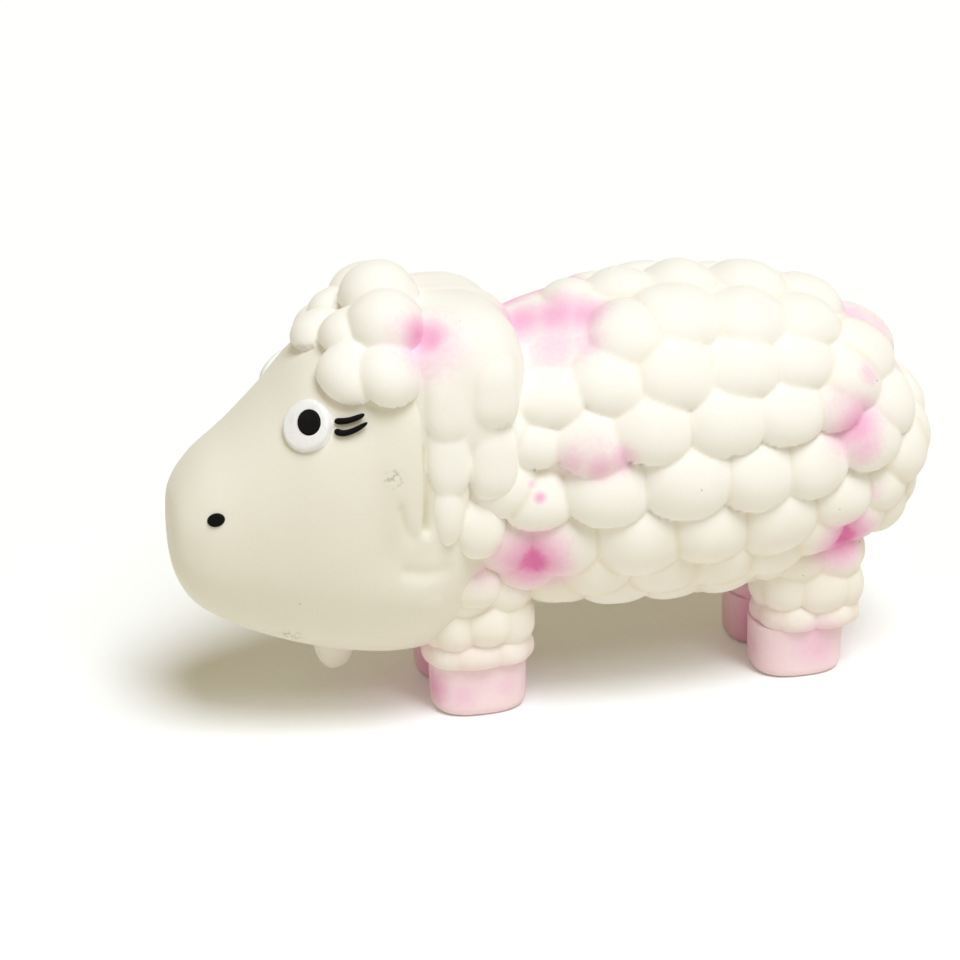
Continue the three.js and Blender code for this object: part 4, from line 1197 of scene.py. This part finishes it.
# %% Wadding finish
def wadding_finish():
    """Matted fibres: streaky noise for colour and relief."""
    material, shader, place = new_finish("polyester_wadding", {
        "Sheen Weight": 0.3, "Specular IOR Level": 0.2,
    })
    fibres = place.noise(0.7, detail=6.0, roughness=0.75)
    colour = fibres.band(0.3, 0.7).blend(written(226, 224, 218), written(246, 246, 243))
    feed(
        shader, Base_Color=colour, Roughness=0.85 + 0.1 * fibres,
        Normal=bump(place, fibres, 0.5),
    )
    return material


wadding = wadding_finish()
print("fibres made")

# %% Wadding of the body
POCKET_FLOOR, POCKET_ROOM, POCKET_RIM, POCKET_EDGE = 20.0, 1.5, 4.0, 3.0
BODY_WADDING_DEPTH, BODY_TUFTS, BODY_TUFT_SIZE = 3.6, 0.7, 14.0
body_cloud, from_squeaker = barrel_cloud(90, 120, BODY_WADDING_DEPTH)
tufts = BODY_TUFTS * soft_noise(body_cloud, BODY_TUFT_SIZE, 7)
body_cloud += tufts[..., None] * one_long(BODY_CENTRE - body_cloud)
pocket_top = FLANGE_BOTTOM + BARREL_DEPTH + POCKET_ROOM
pocket_share = np.clip((COLLAR_RADIUS + POCKET_RIM - from_squeaker) / POCKET_EDGE, 0, 1)
pocket = POCKET_FLOOR + (pocket_top - POCKET_FLOOR) * pocket_share
too_low = (body_cloud[..., 2] < BODY_CENTRE[2]) & (body_cloud[..., 2] < pocket)
body_cloud[too_low, 2] = pocket[too_low]
body_wadding = skin_piece("wadding_cloud_body", body_cloud, wadding)
settle(body_wadding, "wadding_body")

# %% Wadding of the head
HEAD_WADDING_DEPTH, HEAD_TUFTS, HEAD_TUFT_SIZE, CHEST_ROOM = 3.7, 0.5, 12.0, 6.5
head_cloud = head_point(*lining_places)
sunk = HEAD_WADDING_DEPTH + HEAD_TUFTS * soft_noise(head_cloud, HEAD_TUFT_SIZE, 9)
head_cloud = head_cloud - sunk[..., None] * head_normal(*lining_places)
chest_halves = BODY_HALVES + CHEST_ROOM
chest_share = np.abs(head_cloud - BODY_CENTRE + [0, 0, BODY_SAG]) / chest_halves
chest_unit = np.sum(chest_share[..., 1:] ** SECTION_ROUNDNESS, axis=-1)
chest_radius = np.clip(chest_unit, 0, 1) ** (1 / SECTION_ROUNDNESS)
chest_front = BODY_CENTRE[0] - chest_halves[0] \
    * (1 - chest_radius ** END_ROUNDNESS) ** (1 / END_ROUNDNESS)
head_cloud[..., 0] = np.minimum(head_cloud[..., 0], chest_front)
head_cloud[[0, -1]] = head_cloud[[0, -1], :1]
head_wadding = skin_piece("wadding_cloud_head", head_cloud, wadding)
settle(head_wadding, "wadding_head")

# %% [markdown]
# ## Floor and light
# The toy stands on a plain white table in soft daylight. The floor adds a little light of its
# own for the camera alone, so that the table reads white while the shadow stays.

# %% Floor
FLOOR_REACH = 3.0
floor_corners = [
    (FLOOR_REACH * x, FLOOR_REACH * y, 0) for x, y in ((-1, -1), (1, -1), (1, 1), (-1, 1))]
floor_mesh = bpy.data.meshes.new("floor")
floor_mesh.from_pydata(floor_corners, [], [(0, 1, 2, 3)])
floor = new_object("floor", floor_mesh)
floor_material, floor_shader, floor_place = new_finish("floor", {
    "Roughness": 0.9, "Specular IOR Level": 0.1, "Emission Strength": 1.0,
})


def looked_at(wire):
    """1 for rays of the camera and those mirrored or let through to it, 0 for other light."""
    rays = wire.node("ShaderNodeLightPath", {}, {})
    outputs = rays.socket.node.outputs
    for name in ("Is Glossy Ray", "Is Transmission Ray"):
        rays = rays + Wire(rays.tree, outputs[name])
    return rays.band(0.0, 1.0)


floor_seen = looked_at(floor_place)
feed(
    floor_shader, Base_Color=floor_seen.blend((0.89, 0.87, 0.81, 1), (0.97, 0.98, 1.0, 1)),
    Emission_Color=floor_seen.blend((0, 0, 0, 1), (0.08, 0.08, 0.07, 1)),
)
floor_mesh.materials.append(floor_material)
print("floor is", 2 * FLOOR_REACH, "m wide")

# %% Light
world = bpy.data.worlds.new("studio")
world.use_nodes = True
bpy.context.scene.world = world
sky = world.node_tree.nodes["Background"]
sky_seen = looked_at(Wire(world.node_tree, sky.outputs[0]))
feed(sky, Color=sky_seen.blend((0.25, 0.2, 0.085, 1), (1, 1, 1, 1)))
DAYLIGHT = (0.945, 1.0, 1.085)


def soft_sun(name, towards, spread, strength):
    """A far, wide lamp: a direction to it, how many degrees wide it looks, and its strength."""
    lamp_data = bpy.data.lights.new(name, "SUN")
    lamp_data.angle = np.radians(spread)
    lamp_data.energy = strength
    lamp_data.color = DAYLIGHT
    lamp = new_object(name, lamp_data)
    lamp.matrix_world = Vector(towards).to_track_quat("Z", "Y").to_matrix().to_4x4()
    print("lamp", name, "is", spread, "degrees wide")


soft_sun("ceiling", (0.14, -0.38, 1.0), 30.0, 2.19)
soft_sun("window", (0.4, -1.1, 1.2), 16.0, 0.4)
soft_sun("fill", (-1.0, -0.25, 0.3), 50.0, 0.3)

# %% Finish
bpy.context.scene.view_settings.view_transform = "Standard"
